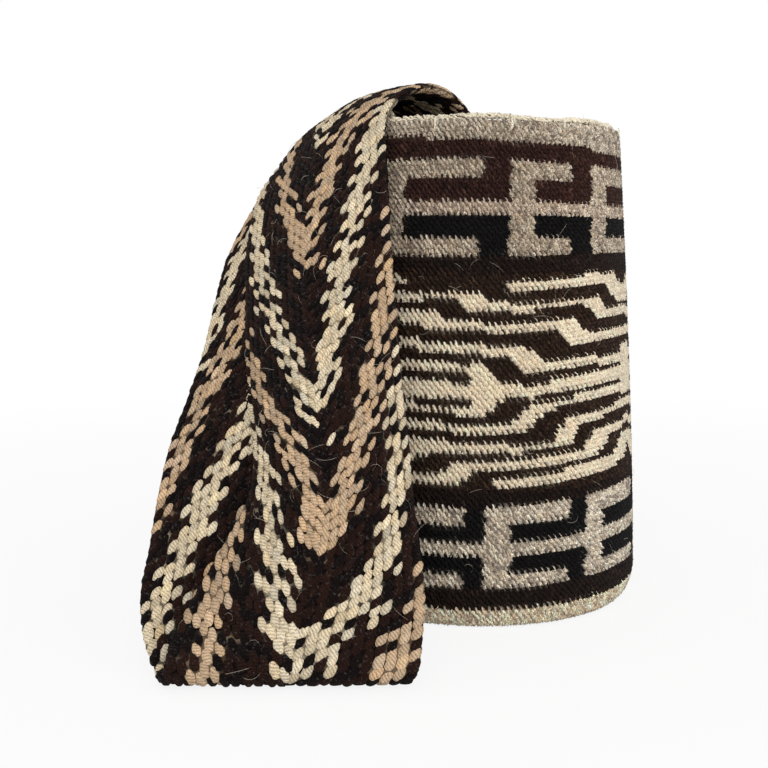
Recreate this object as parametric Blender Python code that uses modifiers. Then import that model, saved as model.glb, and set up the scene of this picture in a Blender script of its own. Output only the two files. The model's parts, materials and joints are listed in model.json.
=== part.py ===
"""Arhuaca mochila: a round crocheted wool shoulder bag with one wide braided strap.

Lengths are in metres and +Z is up. The origin is the middle of the base, on the table.
Azimuths are degrees round the bag, 0 towards the front (-Y) and growing towards +X.
The strap is dropped over the front left of the mouth, and its loop stands on the table.
"""

import math

import bmesh
import bpy
from mathutils import Vector

COLLECTION = "arhuaca_mochila_bag"

# Room between neighbours, so that no two solids touch, and more where flat faces cut a bend's corners
CLEARANCE = 0.0003
FACET_ROOM = 0.0007

# Crocheted bag
BAG_HEIGHT = 0.300
MOUTH_RADIUS = 0.0895
BELLY_RADIUS = 0.1045
BELLY_HEIGHT = 0.020
BASE_RADIUS = 0.090
TAPER_POWER = 1.37
WALL_THICKNESS = 0.0040
WALL_SEGMENTS = 40
RIDGE_PITCH = 0.0103
RIDGE_DEPTH = 0.0008
BASE_ROLL_STEPS = 3
INNER_WALL_STEPS = 4

# Colour bands, as depths below the mouth
HEATHER_EDGE = 0.019
UPPER_COMB_TOP = 0.030
UPPER_COMB_FOOT = 0.087
STRIPES_TOP = 0.104
STRIPES_FOOT = 0.217
LOWER_COMB_TOP = 0.231
LOWER_COMB_FOOT = 0.278
LOWER_EDGE = 0.289
COMB_SEGMENTS = 4
COMB_ARMS = 3

# Whipped yarn round the mouth
EDGING_RADIUS = 0.0020
WHIP_STITCHES = 40
WHIP_SWELL = 0.0004
EDGING_SIDES = 6

# Braided strap
STRAP_THICKNESS = 0.0065
STRAP_EDGE_SHARE = 0.6
STRAP_HALF_WIDTH = 0.0475
STRAP_ROW_SPACING = 0.0115
STRAP_ROW_TURN = 30.0
STRAP_COLUMNS = 10
SEWN_DEPTH = 0.026
NEAR_SEAM_AZIMUTH = -76.0
FAR_SEAM_AZIMUTH = 118.0
FAR_SEAM_DROP = 0.011
CREST_AZIMUTH = -70.0
RIM_BEND_ANGLES = (-25, 0, 30, 60)
LAYER_GAP = 0.0006
FOLD_AZIMUTH = -32.1
FOLD_REACH = 0.1195
FOLD_RADIUS = 0.0092
FOLD_HALF_WIDTH = 0.0590
FOLD_DRIFT = 0.0120
FOLD_STEPS = 4
ROUTE_SAMPLES = 1500
CHEVRON_PITCH = 0.0375
CHEVRON_SLOPE = 1.1
CHEVRON_RELIEF = 0.0006

# Yarn that lashes each strap end inside the mouth
LASHING_RADIUS = 0.0012
LASHING_TOP_DEPTH = 0.008
LASHING_STEP = 0.007

# The strap across the mouth, from the far seam to the crest over the near seam.
# Each row is the share of the way and the height above the mouth.
MOUTH_RUN = (
    (0.012, -0.0065),
    (0.060, -0.0010),
    (0.120, -0.0050),
    (0.200, -0.0150),
    (0.320, -0.0230),
    (0.450, -0.0210),
    (0.550, -0.0120),
    (0.645, 0.0005),
    (0.693, 0.0080),
    (0.753, 0.0150),
    (0.840, 0.0186),
    (0.920, 0.0165),
)

# The strap outside the bag. Each row is the azimuth, the reach beyond the mouth's radius,
# the share of the bag's height, the turn of the band, its half width, and how far
# its two edges curl back behind its middle.
FRONT_RUN = (
    (-63.9, 0.0160, 0.995, -57.5, 0.0476, 0.0120),
    (-57.7, 0.0275, 0.931, -47.0, 0.0480, 0.0110),
    (-51.8, 0.0410, 0.839, -34.5, 0.0486, 0.0100),
    (-46.5, 0.0530, 0.741, -28.5, 0.0490, 0.0110),
    (-41.3, 0.0645, 0.647, -23.5, 0.0475, 0.0130),
    (-36.9, 0.0760, 0.556, -19.0, 0.0463, 0.0150),
    (-33.1, 0.0865, 0.468, -14.0, 0.0448, 0.0165),
    (-29.5, 0.0965, 0.382, -11.5, 0.0435, 0.0170),
    (-27.8, 0.1045, 0.299, -9.0, 0.0450, 0.0150),
    (-28.0, 0.1100, 0.218, -5.5, 0.0530, 0.0090),
    (-28.4, 0.1150, 0.137, -4.0, 0.0600, 0.0040),
    (-29.6, 0.1200, 0.078, -2.0, 0.0620, 0.0010),
)
REAR_RUN = (
    (-35.4, 0.1165, 0.072, -1.0, 0.0620, 0.0005),
    (-38.0, 0.1135, 0.125, -1.0, 0.0615, 0.0020),
    (-40.4, 0.1085, 0.201, -1.0, 0.0590, 0.0050),
    (-42.6, 0.1030, 0.285, -2.0, 0.0555, 0.0080),
    (-44.1, 0.0970, 0.372, -4.0, 0.0515, 0.0100),
    (-46.1, 0.0885, 0.460, -7.5, 0.0475, 0.0120),
    (-49.4, 0.0770, 0.550, -13.0, 0.0445, 0.0130),
    (-54.0, 0.0655, 0.634, -20.0, 0.0440, 0.0130),
    (-59.5, 0.0530, 0.721, -28.0, 0.0445, 0.0125),
    (-65.0, 0.0390, 0.813, -38.0, 0.0450, 0.0125),
    (-69.6, 0.0250, 0.918, -53.0, 0.0452, 0.0110),
    (-72.0, 0.0165, 0.957, -63.0, 0.0456, 0.0100),
    (-74.5, 0.0082, 0.986, -71.0, 0.0462, 0.0090),
)

COLOURS = {
    "wool_heather": (0.305, 0.262, 0.215),
    "wool_brown": (0.036, 0.015, 0.011),
    "wool_black": (0.012, 0.007, 0.006),
    "wool_cream": (0.644, 0.547, 0.402),
    "wool_tan": (0.478, 0.337, 0.223),
    "wool_seam": (0.120, 0.070, 0.045),
}
WOOL_ROUGHNESS = 0.95
BAG_YARNS = ("wool_heather", "wool_brown", "wool_black", "wool_cream")
HEATHER, BROWN, BLACK, CREAM = range(len(BAG_YARNS))

MERGE_DISTANCE = 0.00002
SHARP_ANGLE = 50.0


def clear_scene():
    for obj in list(bpy.data.objects):
        bpy.data.objects.remove(obj)


def wool(name):
    material = bpy.data.materials.new(name)
    material.use_nodes = True
    shader = material.node_tree.nodes["Principled BSDF"]
    shader.inputs["Base Color"].default_value = (*COLOURS[name], 1.0)
    shader.inputs["Roughness"].default_value = WOOL_ROUGHNESS
    shader.inputs["Metallic"].default_value = 0.0
    material.diffuse_color = (*COLOURS[name], 1.0)
    return material


def add_object(name, data, collection, materials):
    obj = bpy.data.objects.new(name, data)
    collection.objects.link(obj)
    for material in materials:
        data.materials.append(wool(material))
    return obj


def on_circle(radius, azimuth, height):
    angle = math.radians(azimuth)
    return Vector((radius * math.sin(angle), -radius * math.cos(angle), height))


def wall_top():
    """The height of the crocheted wall, under the whipped edging."""
    return BAG_HEIGHT - 2 * (EDGING_RADIUS + WHIP_SWELL) - CLEARANCE


def wall_radius(height):
    """The outside radius of the bag: a rolled foot, then a slow taper to the mouth."""
    if height < BELLY_HEIGHT:
        lift = (BELLY_HEIGHT - height) / BELLY_HEIGHT
        return BASE_RADIUS + (BELLY_RADIUS - BASE_RADIUS) * math.sqrt(max(0.0, 1 - lift**2))
    share = (height - BELLY_HEIGHT) / (BAG_HEIGHT - BELLY_HEIGHT)
    return BELLY_RADIUS - (BELLY_RADIUS - MOUTH_RADIUS) * share**TAPER_POWER


def edging_place():
    """The radius and the height of the middle of the whipped edging."""
    return MOUTH_RADIUS - WALL_THICKNESS / 2, BAG_HEIGHT - EDGING_RADIUS - WHIP_SWELL


def inner_radius(depth):
    """How far out a piece inside the mouth may reach, at this depth, before a facet of the wall."""
    return (wall_radius(BAG_HEIGHT - depth) - WALL_THICKNESS) * math.cos(math.pi / WALL_SEGMENTS)


def bag_profile():
    """The wall's section as (radius, height), from the outside of the mouth to the axis and back."""
    top = wall_top()
    ridges = max(1, round((top - BELLY_HEIGHT) / RIDGE_PITCH))
    step = (top - BELLY_HEIGHT) / (2 * ridges)
    points = []
    for index in range(2 * ridges + 1):
        height = top - index * step
        valley = RIDGE_DEPTH if index % 2 == 0 else 0.0
        points.append((wall_radius(height) - valley, height))
    for index in range(1, BASE_ROLL_STEPS + 1):
        turn = math.radians(90) * index / BASE_ROLL_STEPS
        radius = BASE_RADIUS + (BELLY_RADIUS - BASE_RADIUS) * math.cos(turn)
        points.append((radius, BELLY_HEIGHT * (1 - math.sin(turn))))
    points.append((0.0, 0.0))
    points.append((0.0, WALL_THICKNESS))
    points.append((BASE_RADIUS - WALL_THICKNESS, WALL_THICKNESS))
    for index in range(INNER_WALL_STEPS + 1):
        height = BELLY_HEIGHT + (top - BELLY_HEIGHT) * index / INNER_WALL_STEPS
        points.append((wall_radius(height) - WALL_THICKNESS, height))
    return points


def band_material(azimuth_index, depth):
    """The yarn's slot for one face of the outer wall, by its place round and its depth."""
    if depth < HEATHER_EDGE or depth > LOWER_EDGE:
        return HEATHER
    if STRIPES_TOP < depth < STRIPES_FOOT:
        stripe = int((depth - STRIPES_TOP) / (RIDGE_PITCH / 2))
        return CREAM if stripe % 2 else BLACK
    for top, foot in ((UPPER_COMB_TOP, UPPER_COMB_FOOT), (LOWER_COMB_TOP, LOWER_COMB_FOOT)):
        if not top < depth < foot:
            continue
        place = azimuth_index % COMB_SEGMENTS
        bar = int((depth - top) / (foot - top) * (2 * COMB_ARMS - 1))
        in_arm = bar % 2 == 0 and place < COMB_SEGMENTS - 1
        return HEATHER if place == 0 or in_arm else BLACK
    return BROWN


def make_bag_body(collection):
    mesh = bpy.data.meshes.new("bag_profile")
    points = bag_profile()
    edges = [(index, index + 1) for index in range(len(points) - 1)]
    edges.append((len(points) - 1, 0))
    mesh.from_pydata([(radius, 0.0, height) for radius, height in points], edges, [])
    guide = bpy.data.objects.new("bag_profile", mesh)
    collection.objects.link(guide)
    turn = guide.modifiers.new("turn", "SCREW")
    turn.steps = WALL_SEGMENTS
    turn.render_steps = WALL_SEGMENTS
    turn.use_merge_vertices = True
    turn.merge_threshold = MERGE_DISTANCE
    graph = bpy.context.evaluated_depsgraph_get()
    turned = bpy.data.meshes.new_from_object(guide.evaluated_get(graph))
    bpy.data.objects.remove(guide)
    body = bmesh.new()
    body.from_mesh(turned)
    bmesh.ops.recalc_face_normals(body, faces=body.faces)
    body.to_mesh(turned)
    body.free()
    obj = add_object("bag_body", turned, collection, BAG_YARNS)
    for face in turned.polygons:
        centre = face.center
        outside = face.normal.to_2d().dot(centre.to_2d()) > 0
        if outside:
            azimuth = math.degrees(math.atan2(centre.x, -centre.y))
            place = math.floor(azimuth / 360 * WALL_SEGMENTS)
            face.material_index = band_material(place, BAG_HEIGHT - centre.z)
        else:
            face.material_index = BROWN
    turned.shade_smooth()
    turned.set_sharp_from_angle(angle=math.radians(SHARP_ANGLE))
    return obj


def make_rim_edging(collection):
    """A ring of whipped yarn on top of the wall, swelling at each stitch."""
    major, height = edging_place()
    rounds = 2 * WHIP_STITCHES
    bpy.ops.mesh.primitive_torus_add(
        major_segments=rounds,
        minor_segments=EDGING_SIDES,
        major_radius=major,
        minor_radius=EDGING_RADIUS,
    )
    ring = bpy.context.object
    mesh = ring.data
    bpy.data.objects.remove(ring)
    for vertex in mesh.vertices:
        angle = math.atan2(vertex.co.y, vertex.co.x)
        spine = Vector((major * math.cos(angle), major * math.sin(angle), 0.0))
        stitch = round(angle / math.tau * rounds)
        swell = WHIP_SWELL if stitch % 2 else 0.0
        away = vertex.co - spine
        vertex.co = spine + away * (1 + swell / EDGING_RADIUS) + Vector((0.0, 0.0, height))
    mesh.shade_smooth()
    return add_object("rim_edging", mesh, collection, ("wool_cream",))


def station(middle, turn, half, back, relief):
    """One place along the strap as a plain row, so that rows can be blended."""
    return (*middle, turn, half, back, relief)


def sagitta(radius, half):
    """How far the edges of a band fall behind its middle on a wall of this radius."""
    return radius - math.sqrt(radius**2 - half**2)


def sewn_radius(depth):
    """The radius of the middle of the strap, where it lies against the wall or beside the edging."""
    reach = inner_radius(depth)
    if depth < SEWN_DEPTH / 2:
        reach = min(reach, edging_place()[0] - EDGING_RADIUS - WHIP_SWELL - FACET_ROOM)
    return reach - CLEARANCE - STRAP_THICKNESS / 2


def sewn_rows(azimuth, turn, side, drop):
    """The strap's end against the inner wall, from its lowest edge to just under the mouth."""
    edging_depth = BAG_HEIGHT - edging_place()[1]
    rows = []
    for depth in (SEWN_DEPTH + drop, SEWN_DEPTH / 2 + drop, edging_depth + drop):
        radius = sewn_radius(depth)
        back = side * sagitta(radius, STRAP_HALF_WIDTH)
        middle = on_circle(radius, azimuth, BAG_HEIGHT - depth)
        rows.append(station(middle, turn, STRAP_HALF_WIDTH, back, 0.0))
    return rows


def mouth_rows():
    """The strap from its far seam, bent inwards below the rim, through the mouth to the near rim."""
    turn = FAR_SEAM_AZIMUTH - 180
    rows = sewn_rows(FAR_SEAM_AZIMUTH, turn, -1, FAR_SEAM_DROP)
    start = Vector(rows[-1][:3])
    start_back = rows[-1][5]
    crest = crest_row()
    for share, rise in MOUTH_RUN:
        middle = start.lerp(Vector(crest[:3]), share)
        middle.z = BAG_HEIGHT + rise
        band_turn = turn + (CREST_AZIMUTH - turn) * share
        back = start_back + (crest[5] - start_back) * share
        rows.append(station(middle, band_turn, STRAP_HALF_WIDTH, back, 0.0))
    rows.append(crest)
    return rows


def crest_row():
    """The upper layer of the strap, where it passes over the near rim and the lower layer."""
    height = BAG_HEIGHT + 2 * CLEARANCE + FACET_ROOM + LAYER_GAP + 1.5 * STRAP_THICKNESS
    radius = edging_place()[0]
    back = sagitta(radius, STRAP_HALF_WIDTH)
    middle = on_circle(radius, CREST_AZIMUTH, height)
    return station(middle, CREST_AZIMUTH, STRAP_HALF_WIDTH, back, 0.0)


def outside_rows(run):
    rows = []
    for azimuth, reach, share, turn, half, back in run:
        middle = on_circle(MOUTH_RADIUS + reach, azimuth, share * BAG_HEIGHT)
        rows.append(station(middle, turn, half, back, 1.0))
    return rows


def fold_rows():
    """The foot of the loop: a half turn that stands on the table."""
    lowest = CLEARANCE + CHEVRON_RELIEF + STRAP_THICKNESS / 2
    centre = on_circle(MOUTH_RADIUS + FOLD_REACH, FOLD_AZIMUTH, lowest + FOLD_RADIUS)
    rows = []
    for index in range(FOLD_STEPS + 1):
        turn = math.pi * index / FOLD_STEPS
        away = Vector((0.0, -math.cos(turn), -math.sin(turn)))
        drift = Vector((FOLD_DRIFT * (0.5 - index / FOLD_STEPS), 0.0, 0.0))
        rows.append(station(centre + away * FOLD_RADIUS + drift, 0.0, FOLD_HALF_WIDTH, 0.0, 1.0))
    return rows


def near_seam_rows():
    """The lower layer bent over the near rim, then down the inner wall to its seam."""
    spine, height = edging_place()
    bend = EDGING_RADIUS + WHIP_SWELL + CLEARANCE + FACET_ROOM + STRAP_THICKNESS / 2
    rows = []
    for angle in RIM_BEND_ANGLES:
        turn = math.radians(angle)
        radius = spine - bend * math.sin(turn)
        middle = on_circle(radius, NEAR_SEAM_AZIMUTH, height + bend * math.cos(turn))
        back = sagitta(radius, STRAP_HALF_WIDTH)
        rows.append(station(middle, NEAR_SEAM_AZIMUTH, STRAP_HALF_WIDTH, back, 0.0))
    rows += reversed(sewn_rows(NEAR_SEAM_AZIMUTH, NEAR_SEAM_AZIMUTH, 1, 0.0))
    return rows


def smooth_route(rows):
    """A function from the distance along the strap to a row of station values."""
    knots = [0.0]
    for before, after in zip(rows, rows[1:]):
        knots.append(knots[-1] + (Vector(after[:3]) - Vector(before[:3])).length)
    slopes = []
    for index in range(len(rows)):
        low = max(0, index - 1)
        high = min(len(rows) - 1, index + 1)
        span = knots[high] - knots[low]
        slopes.append(tuple((b - a) / span for a, b in zip(rows[low], rows[high])))

    def at(distance):
        index = 0
        while index < len(rows) - 2 and distance > knots[index + 1]:
            index += 1
        span = knots[index + 1] - knots[index]
        t = min(1.0, max(0.0, (distance - knots[index]) / span))
        start, end = rows[index], rows[index + 1]
        leave, arrive = slopes[index], slopes[index + 1]
        weights = (2 * t**3 - 3 * t**2 + 1, t**3 - 2 * t**2 + t, 3 * t**2 - 2 * t**3, t**3 - t**2)
        return tuple(
            weights[0] * a + weights[1] * span * b + weights[2] * c + weights[3] * span * d
            for a, b, c, d in zip(start, leave, end, arrive)
        )

    return at, knots[-1]


def strap_point(row, across, distance):
    """A point of the band's middle surface: across runs from -1, the left edge, to 1."""
    middle = Vector(row[:3])
    turn = math.radians(row[3])
    half, back, relief = row[4:]
    wide = Vector((math.cos(turn), math.sin(turn), 0.0))
    front = Vector((math.sin(turn), -math.cos(turn), 0.0))
    phase = (distance - CHEVRON_SLOPE * (1 - abs(across)) * STRAP_HALF_WIDTH) / CHEVRON_PITCH
    ridge = CHEVRON_RELIEF * relief * math.cos(math.tau * phase)
    return middle + wide * half * across + front * (ridge - back * across**2)


def row_distances(at, length):
    """Where the strap's rows of faces lie: closer together where it bends."""
    samples = ROUTE_SAMPLES
    places = [Vector(at(length * index / samples)[:3]) for index in range(samples + 1)]
    cost = [0.0]
    for index in range(1, samples + 1):
        step = places[index] - places[index - 1]
        before = places[index - 1] - places[index - 2] if index > 1 else step
        turned = math.degrees(before.angle(step))
        cost.append(cost[-1] + step.length / STRAP_ROW_SPACING + turned / STRAP_ROW_TURN)
    rows = round(cost[-1])
    distances = []
    index = 0
    for row in range(rows + 1):
        wanted = cost[-1] * row / rows
        while index < samples - 1 and cost[index + 1] < wanted:
            index += 1
        share = (wanted - cost[index]) / (cost[index + 1] - cost[index])
        distances.append(length * (index + share) / samples)
    return distances


def make_strap(collection):
    rows = mouth_rows() + outside_rows(FRONT_RUN) + fold_rows()
    rows += outside_rows(REAR_RUN) + near_seam_rows()
    at, length = smooth_route(rows)
    distances = row_distances(at, length)
    steps = len(distances) - 1
    band = bmesh.new()
    bmesh.ops.create_grid(band, x_segments=steps, y_segments=STRAP_COLUMNS, size=1.0)
    shares = {}
    for vertex in band.verts:
        distance = distances[round((vertex.co.x + 1) / 2 * steps)]
        across = vertex.co.y
        shares[vertex.index] = abs(across)
        vertex.co = strap_point(at(distance), across, distance)
    mesh = bpy.data.meshes.new("strap")
    band.to_mesh(mesh)
    band.free()
    obj = add_object("strap", mesh, collection, ("wool_tan",))
    thick = obj.vertex_groups.new(name="thick")
    for index, share in shares.items():
        thick.add([index], 1 - (1 - STRAP_EDGE_SHARE) * share**4, "REPLACE")
    shell = obj.modifiers.new("thickness", "SOLIDIFY")
    shell.thickness = STRAP_THICKNESS
    shell.offset = 0.0
    shell.vertex_group = thick.name
    mesh.shade_smooth()
    return obj


def lashing_points(azimuth, drop):
    """A U of yarn on the inner wall: down one edge of the strap's end, under it and up."""
    beside = LASHING_RADIUS + CLEARANCE
    foot = SEWN_DEPTH + drop
    diagonal = beside * math.sin(math.radians(45))
    top = LASHING_TOP_DEPTH + drop
    half_u = [(1.0, beside, top), (1.0, beside, (top + foot) / 2), (1.0, beside, foot)]
    half_u.append((1.0, diagonal, foot + diagonal))
    steps = max(1, round(STRAP_HALF_WIDTH / LASHING_STEP))
    for index in range(steps):
        half_u.append((1 - index / steps, 0.0, foot + beside))
    other_half = [(-share, -offset, depth) for share, offset, depth in reversed(half_u)]
    points = []
    for share, offset, depth in half_u + [(0.0, 0.0, foot + beside)] + other_half:
        edge = math.asin(STRAP_HALF_WIDTH / sewn_radius(min(depth, foot)))
        radius = inner_radius(depth) - CLEARANCE - LASHING_RADIUS
        turn = math.degrees(share * edge + offset / radius)
        points.append(on_circle(radius, azimuth + turn, BAG_HEIGHT - depth))
    return points


def make_lashing(name, azimuth, drop, collection):
    curve = bpy.data.curves.new(name, "CURVE")
    curve.dimensions = "3D"
    curve.bevel_depth = LASHING_RADIUS
    curve.bevel_resolution = 2
    curve.use_fill_caps = True
    spline = curve.splines.new("POLY")
    points = lashing_points(azimuth, drop)
    spline.points.add(len(points) - 1)
    for target, point in zip(spline.points, points):
        target.co = (*point, 1.0)
    return add_object(name, curve, collection, ("wool_seam",))


def main():
    clear_scene()
    collection = bpy.data.collections.new(COLLECTION)
    bpy.context.scene.collection.children.link(collection)
    make_bag_body(collection)
    make_rim_edging(collection)
    make_strap(collection)
    make_lashing("near_seam_yarn", NEAR_SEAM_AZIMUTH, 0.0, collection)
    make_lashing("far_seam_yarn", FAR_SEAM_AZIMUTH, FAR_SEAM_DROP, collection)


main()
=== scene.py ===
"""Looks of the arhuaca mochila bag: crocheted wall, whipped rim, braided strap and their wool.

The part is packed as a fixed frame, and each piece here stands for one of its nodes.
Azimuths are degrees round the bag, 0 towards the front (-Y) and growing towards +X.
Depths are millimetres below the mouth, and places along the strap start at its far seam.
"""

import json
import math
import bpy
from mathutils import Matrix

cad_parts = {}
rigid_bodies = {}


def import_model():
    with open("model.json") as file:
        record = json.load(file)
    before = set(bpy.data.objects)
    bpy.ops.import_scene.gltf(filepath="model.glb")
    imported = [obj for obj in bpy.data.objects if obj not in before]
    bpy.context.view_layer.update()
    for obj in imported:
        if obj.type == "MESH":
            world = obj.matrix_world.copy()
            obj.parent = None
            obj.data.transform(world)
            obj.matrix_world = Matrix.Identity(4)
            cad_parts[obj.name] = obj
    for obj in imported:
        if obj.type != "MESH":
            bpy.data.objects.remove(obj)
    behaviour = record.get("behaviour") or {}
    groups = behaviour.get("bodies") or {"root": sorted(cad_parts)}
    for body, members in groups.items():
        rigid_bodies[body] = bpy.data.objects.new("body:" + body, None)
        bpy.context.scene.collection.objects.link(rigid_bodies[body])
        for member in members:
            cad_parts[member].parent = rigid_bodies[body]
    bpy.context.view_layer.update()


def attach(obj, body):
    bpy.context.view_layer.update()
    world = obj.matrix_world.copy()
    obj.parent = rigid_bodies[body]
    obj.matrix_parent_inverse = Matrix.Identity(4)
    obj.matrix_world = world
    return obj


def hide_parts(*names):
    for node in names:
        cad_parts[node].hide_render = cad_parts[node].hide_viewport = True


bl_info = {
    "name": "Arhuaca mochila bag",
    "version": (1, 0, 0),
    "blender": (4, 5, 0),
    "location": "3D View > Sidebar > Mochila",
    "description": "Crochets the bag, braids and drapes its strap, and sets the studio round them",
    "category": "Object",
}

import bpy
import numpy as np
from mathutils import Vector

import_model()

BODY = "root"
MM = 0.001
UP = np.array((0.0, 0.0, 1.0))

# The shape of the wall and the rim, as the frame has it
BAG_HEIGHT = 0.300
MOUTH_RADIUS = 0.0895
BELLY_RADIUS = 0.1045
BELLY_HEIGHT = 0.020
BASE_RADIUS = 0.090
FOOT_RADIUS = 0.0945
TAPER_POWER = 1.37
WALL_THICKNESS = 0.0040
WALL_SEGMENTS = 40
EDGING_RADIUS = 0.0020
WHIP_SWELL = 0.0004
CLEARANCE = 0.0003
FACET_ROOM = 0.0007

# The shape of the strap, near the frame's, with its foot a little further out
STRAP_THICKNESS = 0.0065
STRAP_HALF_WIDTH = 0.0475
STRAP_EDGE_SHARE = 0.6
SEWN_DEPTH = 0.026
NEAR_SEAM_AZIMUTH = -76.0
FAR_SEAM_AZIMUTH = 118.0
FAR_SEAM_DROP = 0.011
CREST_AZIMUTH = -70.0
RIM_BEND_ANGLES = (-25, 0, 30, 60)
LAYER_SQUEEZE = 0.0022
FOLD_AZIMUTH = -30.9
FOLD_REACH = 0.1290
FOLD_RADIUS = 0.0092
FOLD_HALF_WIDTH = 0.0650
FOLD_DRIFT = 0.0120
FOLD_STEPS = 4
FOLD_LIFT = 0.0009
FOLD_SQUARENESS = 0.6

# The strap across the mouth: the share of the way and the height above the mouth
MOUTH_RUN = (
    (0.012, -0.0065), (0.060, -0.0010), (0.120, -0.0050), (0.200, -0.0150), (0.320, -0.0230),
    (0.450, -0.0210), (0.550, -0.0120), (0.645, 0.0005), (0.693, 0.0080), (0.753, 0.0150),
    (0.840, 0.0186), (0.920, 0.0155),
)

# The strap outside the bag: azimuth, reach beyond the mouth, share of the height, turn,
# half width, and how far the edges curl back behind the middle
FRONT_RUN = (
    (-63.9, 0.0155, 0.981, -57.5, 0.0476, 0.0120),
    (-57.7, 0.0275, 0.920, -47.0, 0.0480, 0.0110),
    (-51.8, 0.0410, 0.839, -34.5, 0.0486, 0.0100),
    (-46.5, 0.0530, 0.741, -28.5, 0.0490, 0.0110),
    (-41.3, 0.0645, 0.647, -23.5, 0.0475, 0.0130),
    (-36.9, 0.0760, 0.556, -19.0, 0.0463, 0.0150),
    (-33.1, 0.0865, 0.468, -14.0, 0.0448, 0.0165),
    (-29.5, 0.0965, 0.382, -11.5, 0.0435, 0.0170),
    (-27.8, 0.1045, 0.299, -9.0, 0.0450, 0.0150),
    (-28.0, 0.1100, 0.218, -5.5, 0.0530, 0.0090),
    (-28.4, 0.1195, 0.137, -4.0, 0.0610, 0.0040),
    (-28.8, 0.1280, 0.078, -2.0, 0.0650, 0.0010),
)
REAR_RUN = (
    (-35.2, 0.1225, 0.072, -1.0, 0.0650, 0.0005),
    (-38.6, 0.1160, 0.125, -1.0, 0.0630, 0.0020),
    (-40.7, 0.1090, 0.201, -1.0, 0.0590, 0.0050),
    (-42.6, 0.1030, 0.285, -2.0, 0.0555, 0.0080),
    (-44.1, 0.0970, 0.372, -4.0, 0.0515, 0.0100),
    (-46.1, 0.0885, 0.460, -7.5, 0.0455, 0.0120),
    (-49.4, 0.0770, 0.550, -13.0, 0.0420, 0.0130),
    (-54.0, 0.0655, 0.634, -20.0, 0.0425, 0.0130),
    (-59.5, 0.0530, 0.721, -28.0, 0.0445, 0.0125),
    (-65.0, 0.0390, 0.813, -38.0, 0.0450, 0.0125),
    (-69.6, 0.0250, 0.918, -53.0, 0.0452, 0.0110),
    (-72.0, 0.0165, 0.957, -63.0, 0.0456, 0.0100),
    (-74.5, 0.0082, 0.986, -71.0, 0.0462, 0.0090),
)

# The labyrinth of the middle band. Each cream line has an upper and a lower edge, as
# azimuth and depth, drawn from DRAWN_FROM to NEAR_MIRROR and mirrored beyond.
FAR_MIRROR = -114.0
NEAR_MIRROR = 66.0
DRAWN_FROM = -32.0
FRONT_SPACING = 51.0
JOIN_WIDTH = 14.0
LABYRINTH = (
    (((-32, 93.8), (-28.6, 93.8)), ((-32, 97.6), (-28.6, 97.6))),
    (
        ((6.5, 97), (21, 94.4), (44, 91), (56.4, 92), (65.5, 99.8), (66, 100)),
        ((6.5, 103.5), (21, 100.4), (44, 97.4), (49.5, 98.2), (58.5, 109.5), (66, 110)),
    ),
    (
        ((-32, 101.5), (-1.9, 103.3), (0.3, 107.9), (9.3, 108.4), (44, 104.8), (51.3, 113), (66, 112.6)),
        ((-32, 107.6), (-10.5, 106.6), (-7.4, 113.1), (9.3, 114.2), (37.6, 110.3), (44.6, 119.3),
         (66, 118.4)),
    ),
    (
        ((-32, 113.6), (-16.9, 113.7), (-14.8, 118.8), (9.3, 120), (31.3, 117.6), (37.3, 125.6),
         (66, 124.4)),
        ((-32, 119.5), (-28.7, 120.8), (-21.4, 123.8), (9.3, 125.9), (25, 123), (29.6, 133.7),
         (66, 130.2)),
    ),
    (
        ((-32, 129.5), (-7, 132), (13.2, 133.8), (21.6, 143.1), (34, 141.3), (66, 139)),
        ((-32, 135.3), (-7, 138.2), (6.4, 139.2), (12.9, 149.7), (34, 147), (66, 145)),
    ),
    (((-32, 141.2), (-1.8, 144.3)), ((-32, 147), (-1.8, 150))),
    (
        ((-32, 153.6), (0, 154.6), (15, 155.3), (34, 151.8), (66, 147.6)),
        ((-32, 162.8), (0, 163.2), (15, 163.4), (34, 160.3), (66, 156.6)),
    ),
    (((-32, 167.2), (-0.6, 168.2)), ((-32, 173), (-0.6, 173.4))),
    (
        ((-32, 176.5), (-10, 178.3), (7.5, 178.2), (13.7, 168.2), (34, 162.5), (66, 158.5)),
        ((-32, 182.2), (-10, 184), (13.7, 182.8), (19.8, 170.9), (34, 168.2), (66, 164.5)),
    ),
    (
        ((-32, 187), (-8, 189), (9.3, 190.1), (23.8, 188.5), (27.7, 177), (42, 172.9), (66, 169)),
        ((-32, 205.5), (-27.3, 203), (-18.2, 196.2), (9.3, 195.9), (30.3, 192.2), (34.8, 179.4),
         (66, 174.5)),
    ),
    (
        ((-32, 208), (-15.9, 208.7), (-10.5, 200.2), (9.3, 199.6), (35.4, 195), (41.2, 184.8), (66, 180)),
        ((-32, 213.6), (-8.9, 214.8), (-3.6, 205.6), (9.3, 205.4), (44.7, 198.8), (50.1, 188), (66, 186)),
    ),
    (
        ((0.9, 209.5), (9.3, 209.2), (52.1, 201.5), (57.9, 191.8), (66, 190)),
        ((0.9, 215), (9.3, 215), (60.7, 207.8), (66, 199)),
    ),
)
# What a line loses at each edge, so that it is two courses wide
LINE_TRIM = 0.3
# The solid diamond where three lines meet, as its right side, and the closing bar
DIAMOND_LEFT = -5.5
DIAMOND_SIDE = ((144.3, -1.8), (154.6, 3.7), (162.7, 6.2), (173.4, -0.6))
CLOSING_BAR = (60.0, 136.0, 166.0)
# Depths of the lines on the two sides of the place where the drawing repeats
JOIN_NEAR = (0, 95.7, 104.5, 116.6, 144.1, 158, 170.1, 190, 211.4, 300)
JOIN_FAR = (0, 97.5, 110, 121.5, 145, 156.3, 170, 191.5, 211, 300)

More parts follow.
